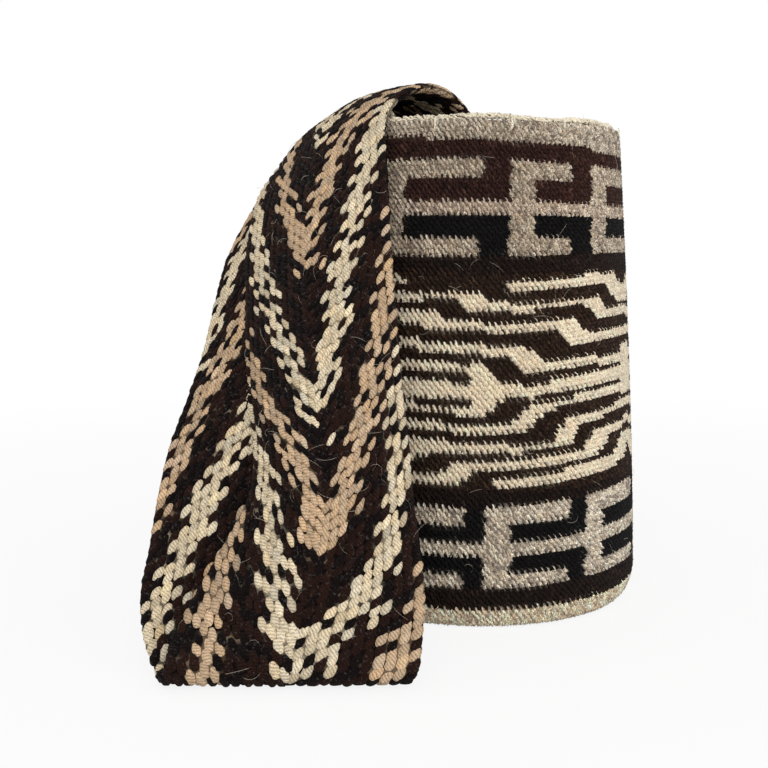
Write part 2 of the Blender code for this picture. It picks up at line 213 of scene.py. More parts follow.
# The combs: left edges of their spines, and the depths of their arms
UPPER_SPINES = (-41.0, 7.6, 42.5, 89.0, 127.3, 165.7, 204.0, 242.3, 280.7)
UPPER_SPINE_WIDTH = 9.8
UPPER_GAP = 10.3
UPPER_ROWS = ((26.0, 36.5), (49.6, 57.7), (71.0, 81.5))
LOWER_SPINES = (-36.6, -0.6, 36.2, 77.0, 112.2, 147.4, 182.6, 217.8, 253.0, 288.2)
LOWER_SPINE_WIDTH = 8.4
LOWER_GAP = 7.0
LOWER_ROWS = ((227.5, 238.0), (247.5, 255.2), (266.0, 274.6))
# The combs lean: the depth at which they stand in place, and millimetres down to a degree
UPPER_UPRIGHT = 54
UPPER_LEAN = 30
LOWER_UPRIGHT = 250
LOWER_LEAN = 45
RIM_BAND = 16.0
RIM_BAND_SWING = 4.6
MIDDLE_BAND = (88.0, 221.0)
BARK_BAND = (91.0, 217.0)
LOWER_BAND = 287.8
# The share of the base's radius that is brown, in its middle, and the share of the belly's
# height up to which the courses belong to the base
BROWN_MIDDLE = 0.3
BASE_REACH = 0.2

# The depths at which the stitches are parted into pieces
PIECE_DEPTHS = (98, 198, 296)
# How deep the middles of the wall's strands lie, and how much deeper under the base
STRAND_SUNK = 0.0011
BASE_SUNK = 0.0013
# How far a strand dips into the wall at its end, how unevenly strands lie, in metres, and the
# share of a stitch by which each course is set off from the last
STRAND_TIP = 0.14
STITCH_JITTER = 0.00016
COURSE_SHIFT = 0.17
# How much a strand strays from its way, in radians, and from its size, as a share
STITCH_STRAY = 0.16
STITCH_UNEVEN = 0.12
# Points along the outside: down the wall, round the foot and in to the middle of the base
SECTION_POINTS = (300, 40, 60)
# The cloth under the stitches: columns round it, rows outside and rows inside
CLOTH_COLUMNS = 160
CLOTH_ROWS = 110
INNER_ROWS = 46
# The angles round the rim at which the whipping's strands lie, how far out, and their bulge
WRAP_TURNS = (-100, -45, 10, 65, 120, 200)
WRAP_OUT = 0.0009
WRAP_BULGE = 0.0013
# The share of a wrap between the rows of strands, their unevenness, and their length in widths
WRAP_SHIFT = 0.37
WRAP_JITTER = 0.15
WRAP_REACH = 3.4
# The whipping rises and dips: metres and how many times round the rim
RIM_RIPPLES = ((0.00025, 9, 1), (0.0002, 23, 0))
# The width, length and bulge of a long stitch's strands, and the step between them
LONG_STITCH = (0.0014, 0.0042, 0.0012)
LONG_STITCH_STEP = 0.0022

# How far the courses run askew on the right of the bag: millimetres down, by depth
ASKEW_AZIMUTH = 75.0
ASKEW = (
    (0, 0.0), (12, 2.6), (30, 3.6), (76, -1.4), (97, -6.6), (156, -8.0), (212, -8.4),
    (235, -5.6), (270, -4.0), (290, -2.6), (300, 0.0),
)
# How far the rim rises and dips, in millimetres, by azimuth
RIM_WAVE = (
    (-60, 0.0), (-40, 0.2), (-5, 1.2), (22, -0.8), (50, 0.3), (75, 1.0), (105, 0.0), (180, 0.8),
    (240, -0.6), (300, 0.0),
)
RIM_WAVE_DEPTH = 40.0
# How far the rim rolls inwards over its top millimetres, and round which azimuth
ROLL_IN = 0.0046
ROLL_DEPTH = 0.0095
ROLL_AZIMUTH = 60.0
ROLL_REACH = 100.0
ROLL_FADE = 12.0

# Millimetres past a light chevron's edge: all cords are light, every other one, and a few
SOLID_BORDER = -1.7
CHECKED_BORDER = 2.3
STRAY_BORDER = 6.0
STRAY_SHARE = 0.09
# Where dark cords stray into the chevron, and how near the middle the tan chevrons are wider
DARK_BORDER = -3.6
DARK_SHARE = 0.2
TAN_MIDDLE = 0.3
TAN_WIDER = 1.35
# The lean of the cords in degrees, what they lose of it at the edge, how they rise along
# their length and how deep their middles lie
CORD_LEAN = 31
CORD_LEAN_LOSS = 7
CORD_RISE = 0.09
CORD_SUNK = 0.0006
CORD_STRAY = 0.09
CORD_UNEVEN = 0.08
# How far the first column of cords lies from the middle, in columns, and the strap's bare end
FIRST_COLUMN = 0.42
BARE_END = 0.002
# Rows along the band and points across each of its faces
BAND_ROWS = 260
BAND_COLUMNS = 13
# Painted shade: the share of the cords' colours that the band between them takes, for the shade that the
# cords cast on it
CORE_SHADE = 0.33

# The middles of the light chevrons, in millimetres along the strap, at seven places across it
STRIPE_PLACES = (-1.0, -0.7, -0.35, 0.0, 0.35, 0.7, 1.0)
STRIPES = (
    (208, 258, 306, 336, 268, 222, 176),
    (288, 350, 399, 436, 372, 290, 225),
    (400, 427, 459, 505, 466, 412, 340),
    (450, 484, 526, 569, 546, 503, 420),
    (500, 562, 634, 672, 638, 588, 530),
    (600, 650, 705, 745, 720, 665, 610),
    (675, 745, 800, 850, 810, 750, 690),
    (770, 835, 888, 935, 895, 835, 780),
)
STRIPE_SPACING = 84.0
STRIPE_LEAST_SLOPE = 2.0

# A stray fibre: its rings, the shortest and longest step between them, its least and greatest
# height, half its thickness, and its curl in radians for each metre
FIBRE_RINGS = 8
FIBRE_STEP = (0.0009, 0.0019)
FIBRE_LIFT = (0.0004, 0.0022)
FIBRE_GIRTH = 0.00008
FIBRE_TIP = 0.00002
FIBRE_CURL = 160
# Where fibres stand: heights on the wall, shares of the strap's length and of its half width
FIBRE_HEIGHTS = (0.02, 0.296)
FIBRE_ALONG = (0.25, 0.93)
FIBRE_ACROSS = 0.95

FLOOR_REACH = 6.0

# How the camera stood, fitted to the outlines of the mouth, the foot and the right side
CAMERA_PLACE = (-0.0598, -0.7575, 0.2207)
CAMERA_PITCH = 6.51
CAMERA_LENS = 53.86
CAMERA_SENSOR = 36.0


def linear(code):
    """A colour written as sRGB hex, such as d8cba8, as linear red, green and blue."""
    shares = [int(code[index : index + 2], 16) / 255 for index in (0, 2, 4)]
    return tuple(c / 12.92 if c <= 0.04045 else ((c + 0.055) / 1.055) ** 2.4 for c in shares)


def colour(name, text, code):
    return bpy.props.FloatVectorProperty(
        name=name, description=text, subtype="COLOR", size=3, min=0.0, max=1.0, default=linear(code)
    )


def length(name, text, millimetres):
    return bpy.props.FloatProperty(
        name=name, description=text, unit="LENGTH", min=0.0, precision=5, default=millimetres * MM
    )


def whole(name, text, number):
    return bpy.props.IntProperty(name=name, description=text, default=number, min=1)


class MochilaWallSettings(bpy.types.PropertyGroup):
    """Sizes and yarns of the crocheted wall"""

    stitch_width: length("Stitch width", "Width of one stitch halfway up the wall", 3.5)
    course_height: length("Course height", "Height of one round of stitches", 2.65)
    leg_width: length("Leg width", "Width of one strand of a stitch", 1.7)
    leg_length: length("Leg length", "Length of the long strand of a stitch", 4.9)
    leg_height: length("Leg height", "Height of a strand, nearly half of it in the wall", 2.4)
    lean: bpy.props.FloatProperty(
        name="Lean", description="How far the legs lean from upright", subtype="ANGLE",
        default=math.radians(24),
    )
    seed: whole("Seed", "Seed of the yarn's unevenness", 7)
    heather_light: colour("Light heather", "Light strands of the heather yarn", "d5c9b6")
    heather_mid: colour("Middle heather", "Middle strands of the heather yarn", "b9aa97")
    heather_dark: colour("Dark heather", "Dark strands of the heather yarn", "95877a")
    brown: colour("Brown", "Yarn above and in the upper combs", "37201a")
    black: colour("Black", "Yarn in the combs", "0d0a0a")
    soot: colour("Brown black", "Yarn between the bands", "20140f")
    cream: colour("Cream", "Yarn of the labyrinth's lines", "fbead0")
    bark: colour("Bark", "Yarn between the labyrinth's lines", "302016")


class MochilaRimSettings(bpy.types.PropertyGroup):
    """Sizes and yarn of the whipped rim"""

    yarn_width: length("Yarn width", "Width of the whipping yarn", 1.35)
    wraps: whole("Wraps", "Wraps round the rim", 150)
    long_stitches: whole("Long stitches", "Stitches that hang down over the wall", 15)
    cream: colour("Cream", "Whipping yarn", "eee3cb")


class MochilaStrapSettings(bpy.types.PropertyGroup):
    """Sizes and cords of the braided strap"""

    core_thickness: length("Core thickness", "Thickness of the band under its cords", 4.2)
    cord_width: length("Cord width", "Width of one plied cord where it shows", 4.2)
    cord_reach: length("Cord reach", "Length of one cord where it shows", 9.0)
    cord_height: length("Cord height", "How far a cord bulges from the band", 1.9)
    column_step: length("Column step", "Distance between columns of cords", 4.3)
    row_step: length("Row step", "Distance between cords in one column", 5.5)
    stripe_half: length("Stripe half width", "Half the width of a light chevron", 4.8)
    stray_fibres: whole("Stray fibres", "Loose fibres on the wall, and as many on the strap", 250)
    seed: whole("Seed", "Seed of the cords' unevenness", 11)
    cream: colour("Cream", "Cream cords", "e5d5b8")
    tan: colour("Tan", "Tan cords", "cfb394")
    brown: colour("Brown", "Dark cords", "26150f")
    black: colour("Black", "Darkest cords", "120a09")


class MochilaStageSettings(bpy.types.PropertyGroup):
    """Camera and light"""

    lens: bpy.props.FloatProperty(
        name="Lens", description="Focal length", unit="CAMERA", default=CAMERA_LENS
    )
    key_power: bpy.props.FloatProperty(
        name="Key light", description="Power of the large light in front", unit="POWER", default=16.0
    )
    fill_power: bpy.props.FloatProperty(
        name="Fill light", description="Power of the light on the right", unit="POWER", default=6.5
    )
    daylight: bpy.props.FloatProperty(
        name="Daylight", description="Strength of the light from all round", default=0.62
    )


def settings(context):
    return context.scene.mochila_wall, context.scene.mochila_rim, context.scene.mochila_strap


# Node trees


def add_node(tree, kind, links=None, **values):
    """A node of this kind, linked from sockets or from the first outputs of other nodes.

    A value whose name starts with in_ goes to a socket, by the socket's name or number.
    """
    node = tree.nodes.new(kind)
    for name, value in values.items():
        if not name.startswith("in_"):
            setattr(node, name, value)
    for name, value in values.items():
        if name.startswith("in_"):
            key = int(name[3:]) if name[3:].isdigit() else name[3:].replace("_", " ")
            node.inputs[key].default_value = value
    for key, source in (links or {}).items():
        socket = source.outputs[0] if isinstance(source, bpy.types.Node) else source
        tree.links.new(socket, node.inputs[key])
    return node


def new_material(name):
    material = bpy.data.materials.new(name)
    material.use_nodes = True
    material.node_tree.nodes.clear()
    return material, material.node_tree


def start_wool(name):
    """A material of wool: itself, its tree, its yarn, its Object coordinates and its fibres."""
    material, tree = new_material(name)
    yarn = add_node(tree, "ShaderNodeAttribute", attribute_name="wool")
    place = add_node(tree, "ShaderNodeTexCoord").outputs["Object"]
    # Fibre clumps of about 0.8 mm, the smallest that show in the render
    fibre = add_node(
        tree, "ShaderNodeTexNoise", {"Vector": place}, in_Scale=1250.0, in_Detail=3.0, in_Roughness=0.7
    )
    return material, tree, yarn, place, fibre


def finish_wool(tree, yarn, tone, spots, pale, height, relief, **surface):
    """Colours the wool by its yarn and tone, raises its relief, and lets pale fibre ends stand out where
    the spots are. For the cords the tone holds painted shade in the grooves between the plies.

    The ends show most plainly on dark wool. pale holds the spots' level from which they show
    and their brightness, and relief its strength and its height in metres.
    """
    tinted = add_node(tree, "ShaderNodeVectorMath", {"Vector": yarn, "Scale": tone}, operation="SCALE")
    ends = add_node(
        tree, "ShaderNodeMapRange", {"Value": spots},
        in_From_Min=pale[0], in_From_Max=0.74, in_To_Min=0.0, in_To_Max=pale[1],
    )
    dyed = add_node(tree, "ShaderNodeVectorMath", {0: tinted, 1: ends}, operation="ADD")
    fuzz = add_node(
        tree, "ShaderNodeBump", {"Height": height}, in_Strength=relief[0], in_Distance=relief[1]
    )
    links = {"Base Color": dyed, "Normal": fuzz}
    shader = add_node(tree, "ShaderNodeBsdfPrincipled", links, in_IOR=1.45, **surface)
    add_node(tree, "ShaderNodeOutputMaterial", {"Surface": shader})


def crochet_wool():
    """Hand-spun sheep's wool, crocheted tight: dull, with fuzzy fibres that break up its colour."""
    name = "crocheted_sheep_wool"
    if name in bpy.data.materials:
        return bpy.data.materials[name]
    material, tree, yarn, place, fibre = start_wool(name)
    shade = add_node(
        tree, "ShaderNodeMapRange", {"Value": fibre},
        in_From_Min=0.3, in_From_Max=0.7, in_To_Min=0.5, in_To_Max=1.42,
    )
    # Flecks of 0.7 mm or so, where fibres of several wools are spun together
    spots = add_node(tree, "ShaderNodeTexNoise", {"Vector": place}, in_Scale=1500.0, in_Detail=1.0)
    flecks = add_node(
        tree, "ShaderNodeMapRange", {"Value": spots},
        in_From_Min=0.36, in_From_Max=0.64, in_To_Min=-0.5, in_To_Max=0.45,
    )
    links = {0: flecks, 1: yarn.outputs["Alpha"]}
    flecked = add_node(tree, "ShaderNodeMath", links, operation="MULTIPLY_ADD", in_2=1.0)
    tone = add_node(tree, "ShaderNodeMath", {0: flecked, 1: shade}, operation="MULTIPLY")
    finish_wool(
        tree, yarn, tone, spots, (0.6, 0.03), fibre, (0.55, 0.0004),
        in_Roughness=0.95, in_Sheen_Weight=0.04, in_Sheen_Roughness=0.6, in_Specular_IOR_Level=0.12,
    )
    return material


def cord_wool():
    """Two-ply wool cord: each ply turns round the other, which gives slanting ribs."""
    name = "plied_wool_cord"
    if name in bpy.data.materials:
        return bpy.data.materials[name]
    material, tree, yarn, place, fibre = start_wool(name)
    spot = add_node(tree, "ShaderNodeUVMap", uv_map="UVMap")
    split = add_node(tree, "ShaderNodeSeparateXYZ", {"Vector": spot})
    # The plies wander: their phase shifts by up to half a turn every 1.5 mm or so
    wander = add_node(tree, "ShaderNodeTexNoise", {"Vector": place}, in_Scale=650.0, in_Detail=1.0)
    links = {0: split.outputs["X"], 2: wander}
    slant = add_node(tree, "ShaderNodeMath", links, operation="MULTIPLY_ADD", in_1=1.4)
    # Five ribs to a cord's showing length of 9 mm, each about 1.8 mm wide
    along = add_node(tree, "ShaderNodeMath", {0: split.outputs["Y"]}, operation="MULTIPLY", in_1=5.0)
    turn = add_node(tree, "ShaderNodeMath", {0: along, 1: slant}, operation="ADD")
    angle = add_node(tree, "ShaderNodeMath", {0: turn}, operation="MULTIPLY", in_1=math.tau)
    wave = add_node(tree, "ShaderNodeMath", {0: angle}, operation="SINE")
    rib = add_node(
        tree, "ShaderNodeMapRange", {"Value": wave},
        in_From_Min=-1.0, in_From_Max=1.0, in_To_Min=0.0, in_To_Max=1.0,
    )
    links = {0: fibre, 2: rib}
    height = add_node(tree, "ShaderNodeMath", links, operation="MULTIPLY_ADD", in_1=2.4)
    # The colour follows the relief: darker in the grooves between the plies, as painted shade, and with
    # the fibres, whose tone varies at random.
    shade = add_node(
        tree, "ShaderNodeMapRange", {"Value": height},
        in_From_Min=0.8, in_From_Max=2.1, in_To_Min=0.42, in_To_Max=1.22,
    )
    finish_wool(
        tree, yarn, shade, wander, (0.62, 0.045), height, (0.8, 0.0005),
        in_Roughness=0.9, in_Sheen_Weight=0.03, in_Sheen_Roughness=0.5, in_Specular_IOR_Level=0.08,
    )
    return material


# Strands laid on points

# How blunt a strand's ends are, less for blunter ones, and how deep its underside comes to a ridge
STRAND_BLUNTNESS = 0.75
STRAND_RIDGE = -0.12


def strand_mesh(name, rings, sides):
    """A half spindle, one unit long, wide and high, with its round side up."""
    points = []
    spots = []
    for ring in rings:
        swell = math.sqrt(max(0.0, 1 - (2 * ring) ** 2)) ** STRAND_BLUNTNESS
        for side in range(sides + 1):
            turn = math.pi * side / sides
            points.append((-0.5 * swell * math.cos(turn), ring, swell * math.sin(turn)))
            spots.append((side / sides, ring + 0.5))
    faces = []
    for ring in range(len(rings) - 1):
        for side in range(sides):
            first = ring * (sides + 1) + side
            faces.append((first, first + 1, first + sides + 2, first + sides + 1))
    low = len(points)
    points += [(0.0, -0.5, STRAND_RIDGE), (0.0, 0.5, STRAND_RIDGE)]
    spots += [(0.5, 0.0), (0.5, 1.0)]
    last = (len(rings) - 1) * (sides + 1)
    for side in range(sides):
        faces.append((low, side + 1, side))
        faces.append((low + 1, last + side, last + side + 1))
    mesh = bpy.data.meshes.new(name)
    mesh.from_pydata(points, [], faces)
    layer = mesh.uv_layers.new(name="UVMap")
    for loop in mesh.loops:
        layer.data[loop.index].uv = spots[loop.vertex_index]
    mesh.shade_smooth()
    return mesh


def strand_tree():
    """Geometry nodes that lay a strand on each point, turned and sized by its attributes."""
    tree = bpy.data.node_groups.new("lay_strands", "GeometryNodeTree")
    inputs = (
        ("Geometry", "NodeSocketGeometry"), ("Strand", "NodeSocketObject"),
        ("Wool", "NodeSocketMaterial"), ("Stray angle", "NodeSocketFloat"),
        ("Uneven size", "NodeSocketFloat"), ("Seed", "NodeSocketInt"),
    )
    for name, kind in inputs:
        tree.interface.new_socket(name, in_out="INPUT", socket_type=kind)
    tree.interface.new_socket("Geometry", in_out="OUTPUT", socket_type="NodeSocketGeometry")
    given = add_node(tree, "NodeGroupInput").outputs
    other_seed = add_node(tree, "ShaderNodeMath", {0: given["Seed"]}, operation="ADD", in_1=17.0)
    turn, size = (
        add_node(tree, "GeometryNodeInputNamedAttribute", data_type="FLOAT_VECTOR", in_Name=name)
        for name in ("turn", "size")
    )
    stray, chance = (
        add_node(tree, "FunctionNodeRandomValue", {"Seed": seed}, data_type="FLOAT", in_2=-1.0, in_3=1.0)
        for seed in (given["Seed"], other_seed)
    )
    links = {0: stray.outputs[1], 1: given["Stray angle"]}
    swing = add_node(tree, "ShaderNodeMath", links, operation="MULTIPLY")
    aside = add_node(tree, "ShaderNodeCombineXYZ", {"Z": swing})
    base = add_node(tree, "FunctionNodeEulerToRotation", {0: turn})
    extra = add_node(tree, "FunctionNodeEulerToRotation", {0: aside})
    links = {0: base, 1: extra}
    turned = add_node(tree, "FunctionNodeRotateRotation", links, rotation_space="LOCAL")
    links = {0: chance.outputs[1], 1: given["Uneven size"]}
    share = add_node(tree, "ShaderNodeMath", links, operation="MULTIPLY_ADD", in_2=1.0)
    scale = add_node(tree, "ShaderNodeVectorMath", {"Vector": size, "Scale": share}, operation="SCALE")
    strand = add_node(tree, "GeometryNodeObjectInfo", {"Object": given["Strand"]}).outputs["Geometry"]
    links = {"Points": given["Geometry"], "Instance": strand, "Rotation": turned, "Scale": scale}
    laid = add_node(tree, "GeometryNodeInstanceOnPoints", links)
    real = add_node(tree, "GeometryNodeRealizeInstances", {"Geometry": laid})
    dyed = add_node(tree, "GeometryNodeSetMaterial", {"Geometry": real, "Material": given["Wool"]})
    add_node(tree, "NodeGroupOutput", {"Geometry": dyed})
    return tree


def euler(across, along, out):
    """Euler angles of frames whose x, y and z run across, along and out."""
    pitch = np.arcsin(np.clip(-across[:, 2], -1, 1))
    roll = np.arctan2(along[:, 2], out[:, 2])
    yaw = np.arctan2(across[:, 1], across[:, 0])
    return np.stack((roll, pitch, yaw), axis=1)


def unit(vectors):
    return vectors / np.maximum(np.linalg.norm(vectors, axis=1, keepdims=True), 1e-12)


def lay_strands(name, strand, wool, places, along, out, sizes, colours, stray, uneven, seed):
    """A piece of many strands, each at its place, along its own way and bulging out."""
    along = unit(along)
    across = unit(np.cross(along, out))
    out = np.cross(across, along)
    mesh = bpy.data.meshes.new(name + "_points")
    mesh.vertices.add(len(places))
    mesh.vertices.foreach_set("co", places.astype(np.float32).ravel())
    for key, values in (("turn", euler(across, along, out)), ("size", sizes)):
        mesh.attributes.new(key, "FLOAT_VECTOR", "POINT")
        mesh.attributes[key].data.foreach_set("vector", values.astype(np.float32).ravel())
    dye_points(mesh, colours)
    mesh.update()
    points = add_piece(name + "_points", mesh)
    pattern = add_piece(name + "_strand", strand)
    layer = points.modifiers.new("strands", "NODES")
    layer.node_group = bpy.data.node_groups.get("lay_strands") or strand_tree()
    values = {
        "Strand": pattern, "Wool": wool, "Stray angle": float(stray), "Uneven size": float(uneven),
        "Seed": int(seed),
    }
    for socket in layer.node_group.interface.items_tree:
        if socket.in_out == "INPUT" and socket.name in values:
            layer[socket.identifier] = values[socket.name]
    graph = bpy.context.evaluated_depsgraph_get()
    made = bpy.data.meshes.new_from_object(points.evaluated_get(graph))
    made.name = name
    bpy.data.objects.remove(points)
    bpy.data.objects.remove(pattern)
    for key in ("turn", "size"):
        if key in made.attributes:
            made.attributes.remove(made.attributes[key])
    if not made.polygons:
        raise RuntimeError(f"{name}: no strands were laid")
    return add_piece(name, made)


def add_piece(name, data):
    obj = bpy.data.objects.new(name, data)
    bpy.context.scene.collection.objects.link(obj)
    return obj


def seat(obj, nodes):
    """The piece rides on the bag and stands for these nodes."""
    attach(obj, BODY)
    if nodes:
        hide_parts(*nodes)


def grid_mesh(name, places, colours, material):
    """A smooth sheet through a grid of places, as rows of columns that close round."""
    rows, columns = places.shape[:2]
    faces = []
    for low in range(0, (rows - 1) * columns, columns):
        for column in range(columns):
            after = (column + 1) % columns
            faces.append((low + column, low + after, low + columns + after, low + columns + column))
    mesh = bpy.data.meshes.new(name)
    mesh.from_pydata(places.reshape(-1, 3).tolist(), [], faces)
    dye_points(mesh, colours)
    mesh.materials.append(material)
    mesh.shade_smooth()
    return mesh


# Shape of the bag


def on_circle(radius, azimuth, height):
    angle = math.radians(azimuth)
    return np.array((radius * math.sin(angle), -radius * math.cos(angle), height))


def ways_round(azimuth):
    """Unit vectors away from the axis and round it, at these azimuths."""
    angle = np.radians(azimuth)
    away = np.stack((np.sin(angle), -np.cos(angle), 0 * angle), axis=1)
    return away, np.stack((np.cos(angle), np.sin(angle), 0 * angle), axis=1)


def wall_top():
    return BAG_HEIGHT - 2 * (EDGING_RADIUS + WHIP_SWELL) - CLEARANCE


def wall_radius(height):
    """The outside radius of the bag: a rolled foot, then a slow taper to the mouth."""
    if height < BELLY_HEIGHT:
        lift = (BELLY_HEIGHT - height) / BELLY_HEIGHT
        return FOOT_RADIUS + (BELLY_RADIUS - FOOT_RADIUS) * math.sqrt(max(0.0, 1 - lift**2))
    share = (height - BELLY_HEIGHT) / (BAG_HEIGHT - BELLY_HEIGHT)
    return BELLY_RADIUS - (BELLY_RADIUS - MOUTH_RADIUS) * share**TAPER_POWER


def rim_roll(azimuth, height):
    """How far the rim rolls inwards, in metres, clear of the seams of the strap."""
    rise = np.clip((height - BAG_HEIGHT + ROLL_DEPTH) / ROLL_DEPTH, 0, 1)
    turned = np.abs((azimuth - ROLL_AZIMUTH + 180) % 360 - 180)
    share = np.clip((ROLL_REACH - turned) / ROLL_FADE, 0, 1)
    return ROLL_IN * share * (1 - np.sqrt(1 - np.minimum(rise, 0.98) ** 2))


def edging_place():
    return MOUTH_RADIUS - WALL_THICKNESS / 2, BAG_HEIGHT - EDGING_RADIUS - WHIP_SWELL


def inner_radius(depth):
    return (wall_radius(BAG_HEIGHT - depth) - WALL_THICKNESS) * math.cos(math.pi / WALL_SEGMENTS)


def outer_section():
    """Radius and height along the outside, from the mouth round the foot to the base's middle."""
    wall_points, foot_points, base_points = SECTION_POINTS
    heights = np.linspace(wall_top(), BELLY_HEIGHT, wall_points)
    points = [(wall_radius(height), height) for height in heights]
    for turn in np.linspace(0, math.pi / 2, foot_points)[1:]:
        radius = FOOT_RADIUS + (BELLY_RADIUS - FOOT_RADIUS) * math.cos(turn)
        points.append((radius, BELLY_HEIGHT * (1 - math.sin(turn))))
    points += [(radius, 0.0) for radius in np.linspace(FOOT_RADIUS, 0, base_points)[1:]]
    points = np.array(points)
    steps = np.linalg.norm(np.diff(points, axis=0), axis=1)
    return points, np.concatenate(([0.0], np.cumsum(steps)))


def along_section(section, distance):
    """Radius and height, and the way down the section, at this distance from the mouth."""
    points, lengths = section
    spots = (distance, distance + MM, distance - MM)
    radii, heights = (np.interp(spots, lengths, points[:, axis]) for axis in (0, 1))
    way = np.array((radii[1] - radii[2], heights[1] - heights[2]))
    return radii[0], heights[0], way / max(1e-9, np.linalg.norm(way))


# Figures of the bag

(RIM_GREY, BROWN, BLACK, COMB_GREY, WARM_GREY, LOWER_GREY_PAINTED_LIGHTER, SOOT, CREAM, BARK, FOOT_GREY_PAINTED_LIGHTER) = range(10)
# The heathers low on the bag, in the lower combs and the foot, are made lighter than the rest, the foot's
# most, as painted light against the shade that falls low on the bag.
HEATHER_TINTS_AND_PAINTED_LIGHT = (
    (RIM_GREY, (0.98, 0.97, 0.96)), (COMB_GREY, (0.98, 0.95, 0.92)), (WARM_GREY, (1.08, 1.02, 1.00)),
    (LOWER_GREY_PAINTED_LIGHTER, (1.28, 1.30, 1.32)), (FOOT_GREY_PAINTED_LIGHTER, (1.78, 1.74, 1.62)),
)
# Shares of light and of middle strands in the heather yarns
LIGHT_SHARE = 0.42
MIDDLE_SHARE = 0.36
# The green below which a yarn is dark, and its share of paler strands, with their tint
DARK_BELOW = 0.05
PALE_SHARE = 0.12
PALE_TINT = (1.9, 2.2, 2.3)
# How flecked the cream yarn is, and the wool that says nothing of it
CREAM_FLECKS = 0.35
FEW_FLECKS = 0.3


def between(knots, azimuth):
    return np.interp(azimuth, [knot[0] for knot in knots], [knot[1] for knot in knots])


def labyrinth(azimuth, depth):
    """Where the cream lines of the middle band run."""
    turned = (azimuth - FAR_MIRROR) % 360
    place = FAR_MIRROR + np.where(turned > 180, 360 - turned, turned)
    near = np.clip((place - DRAWN_FROM + JOIN_WIDTH) / JOIN_WIDTH, 0, 1) * (place < DRAWN_FROM)
    depth = depth + near * (np.interp(depth, JOIN_NEAR, JOIN_FAR) - depth)
    steps = np.ceil(np.maximum(0.0, DRAWN_FROM - place) / FRONT_SPACING)
    place = place + steps * FRONT_SPACING
    cream = np.zeros(azimuth.shape, bool)
    for upper, lower in LABYRINTH:
        reach = (place >= upper[0][0]) & (place <= upper[-1][0] + 0.01)
        top = between(upper, place) + LINE_TRIM
        foot = between(lower, place) - LINE_TRIM
        cream |= reach & (depth > top) & (depth < foot)
    tall = (depth > DIAMOND_SIDE[0][0] - 1.5) & (depth < DIAMOND_SIDE[-1][0])
    cream |= tall & (place > DIAMOND_LEFT) & (place < between(DIAMOND_SIDE, depth))
    start, top, foot = CLOSING_BAR
    return cream | (place > start) & (depth > top) & (depth < foot)


def combs(azimuth, depth, spines, width, gap, rows):
    """Where the combs are: upright spines, a bar through them all, and arms above and below it."""
    edges = np.array(spines)
    turned = edges[0] + (azimuth - edges[0]) % 360
    index = np.searchsorted(edges, turned, side="right") - 1
    after = np.append(edges[1:], edges[0] + 360)[index]
    left = edges[index]
    top, bar, foot = rows
    tall = (depth > top[0]) & (depth < foot[1])
    spine = tall & (turned < left + width)
    in_bar = (depth > bar[0]) & (depth < bar[1])
    in_arm = ((depth > top[0]) & (depth < top[1])) | ((depth > foot[0]) & (depth < foot[1]))
    arm = in_arm & (turned < after - gap)
    return spine | in_bar | arm, in_bar


def rim_wave(azimuth, depth):
    """How far the rim rises at each place, in millimetres, fading out down the wall."""
    fade = np.clip(1 - depth / RIM_WAVE_DEPTH, 0, 1)
    return between(RIM_WAVE, (azimuth + 60) % 360 - 60) * fade


def askew(azimuth, depth):
    """How far down the courses are pulled at each place, in millimetres."""
    swing = np.clip(np.cos(np.radians(azimuth - ASKEW_AZIMUTH)), 0, 1) ** 2
    return between(ASKEW, depth) * swing - rim_wave(azimuth, depth)


def figures(azimuth, level, depth):
    """The yarn of each stitch, by its azimuth, its course's level and its depth in millimetres."""
    yarn = np.full(azimuth.shape, SOOT)
    lean = azimuth + (level - UPPER_UPRIGHT) / UPPER_LEAN
    shown, bar = combs(lean, level, UPPER_SPINES, UPPER_SPINE_WIDTH, UPPER_GAP, UPPER_ROWS)
    yarn[level < UPPER_ROWS[2][1]] = BLACK
    yarn[level < UPPER_ROWS[1][1]] = BROWN
    yarn[shown & (level < MIDDLE_BAND[0])] = COMB_GREY
    yarn[shown & bar & (level < MIDDLE_BAND[0])] = WARM_GREY
    yarn[depth < RIM_BAND + RIM_BAND_SWING * np.sin(np.radians(azimuth - 2))] = RIM_GREY
    yarn[(depth > BARK_BAND[0]) & (depth < BARK_BAND[1])] = BARK
    middle = (depth > MIDDLE_BAND[0]) & (depth < MIDDLE_BAND[1])
    yarn[labyrinth(azimuth, depth) & middle] = CREAM
    under = depth > MIDDLE_BAND[1]
    lean = azimuth + (level - LOWER_UPRIGHT) / LOWER_LEAN
    shown, bar = combs(lean, level, LOWER_SPINES, LOWER_SPINE_WIDTH, LOWER_GAP, LOWER_ROWS)
    yarn[under & (level > LOWER_ROWS[0][0]) & (level < LOWER_ROWS[2][1])] = BLACK
    yarn[under & shown] = LOWER_GREY_PAINTED_LIGHTER
    yarn[level > LOWER_BAND] = FOOT_GREY_PAINTED_LIGHTER
    return yarn


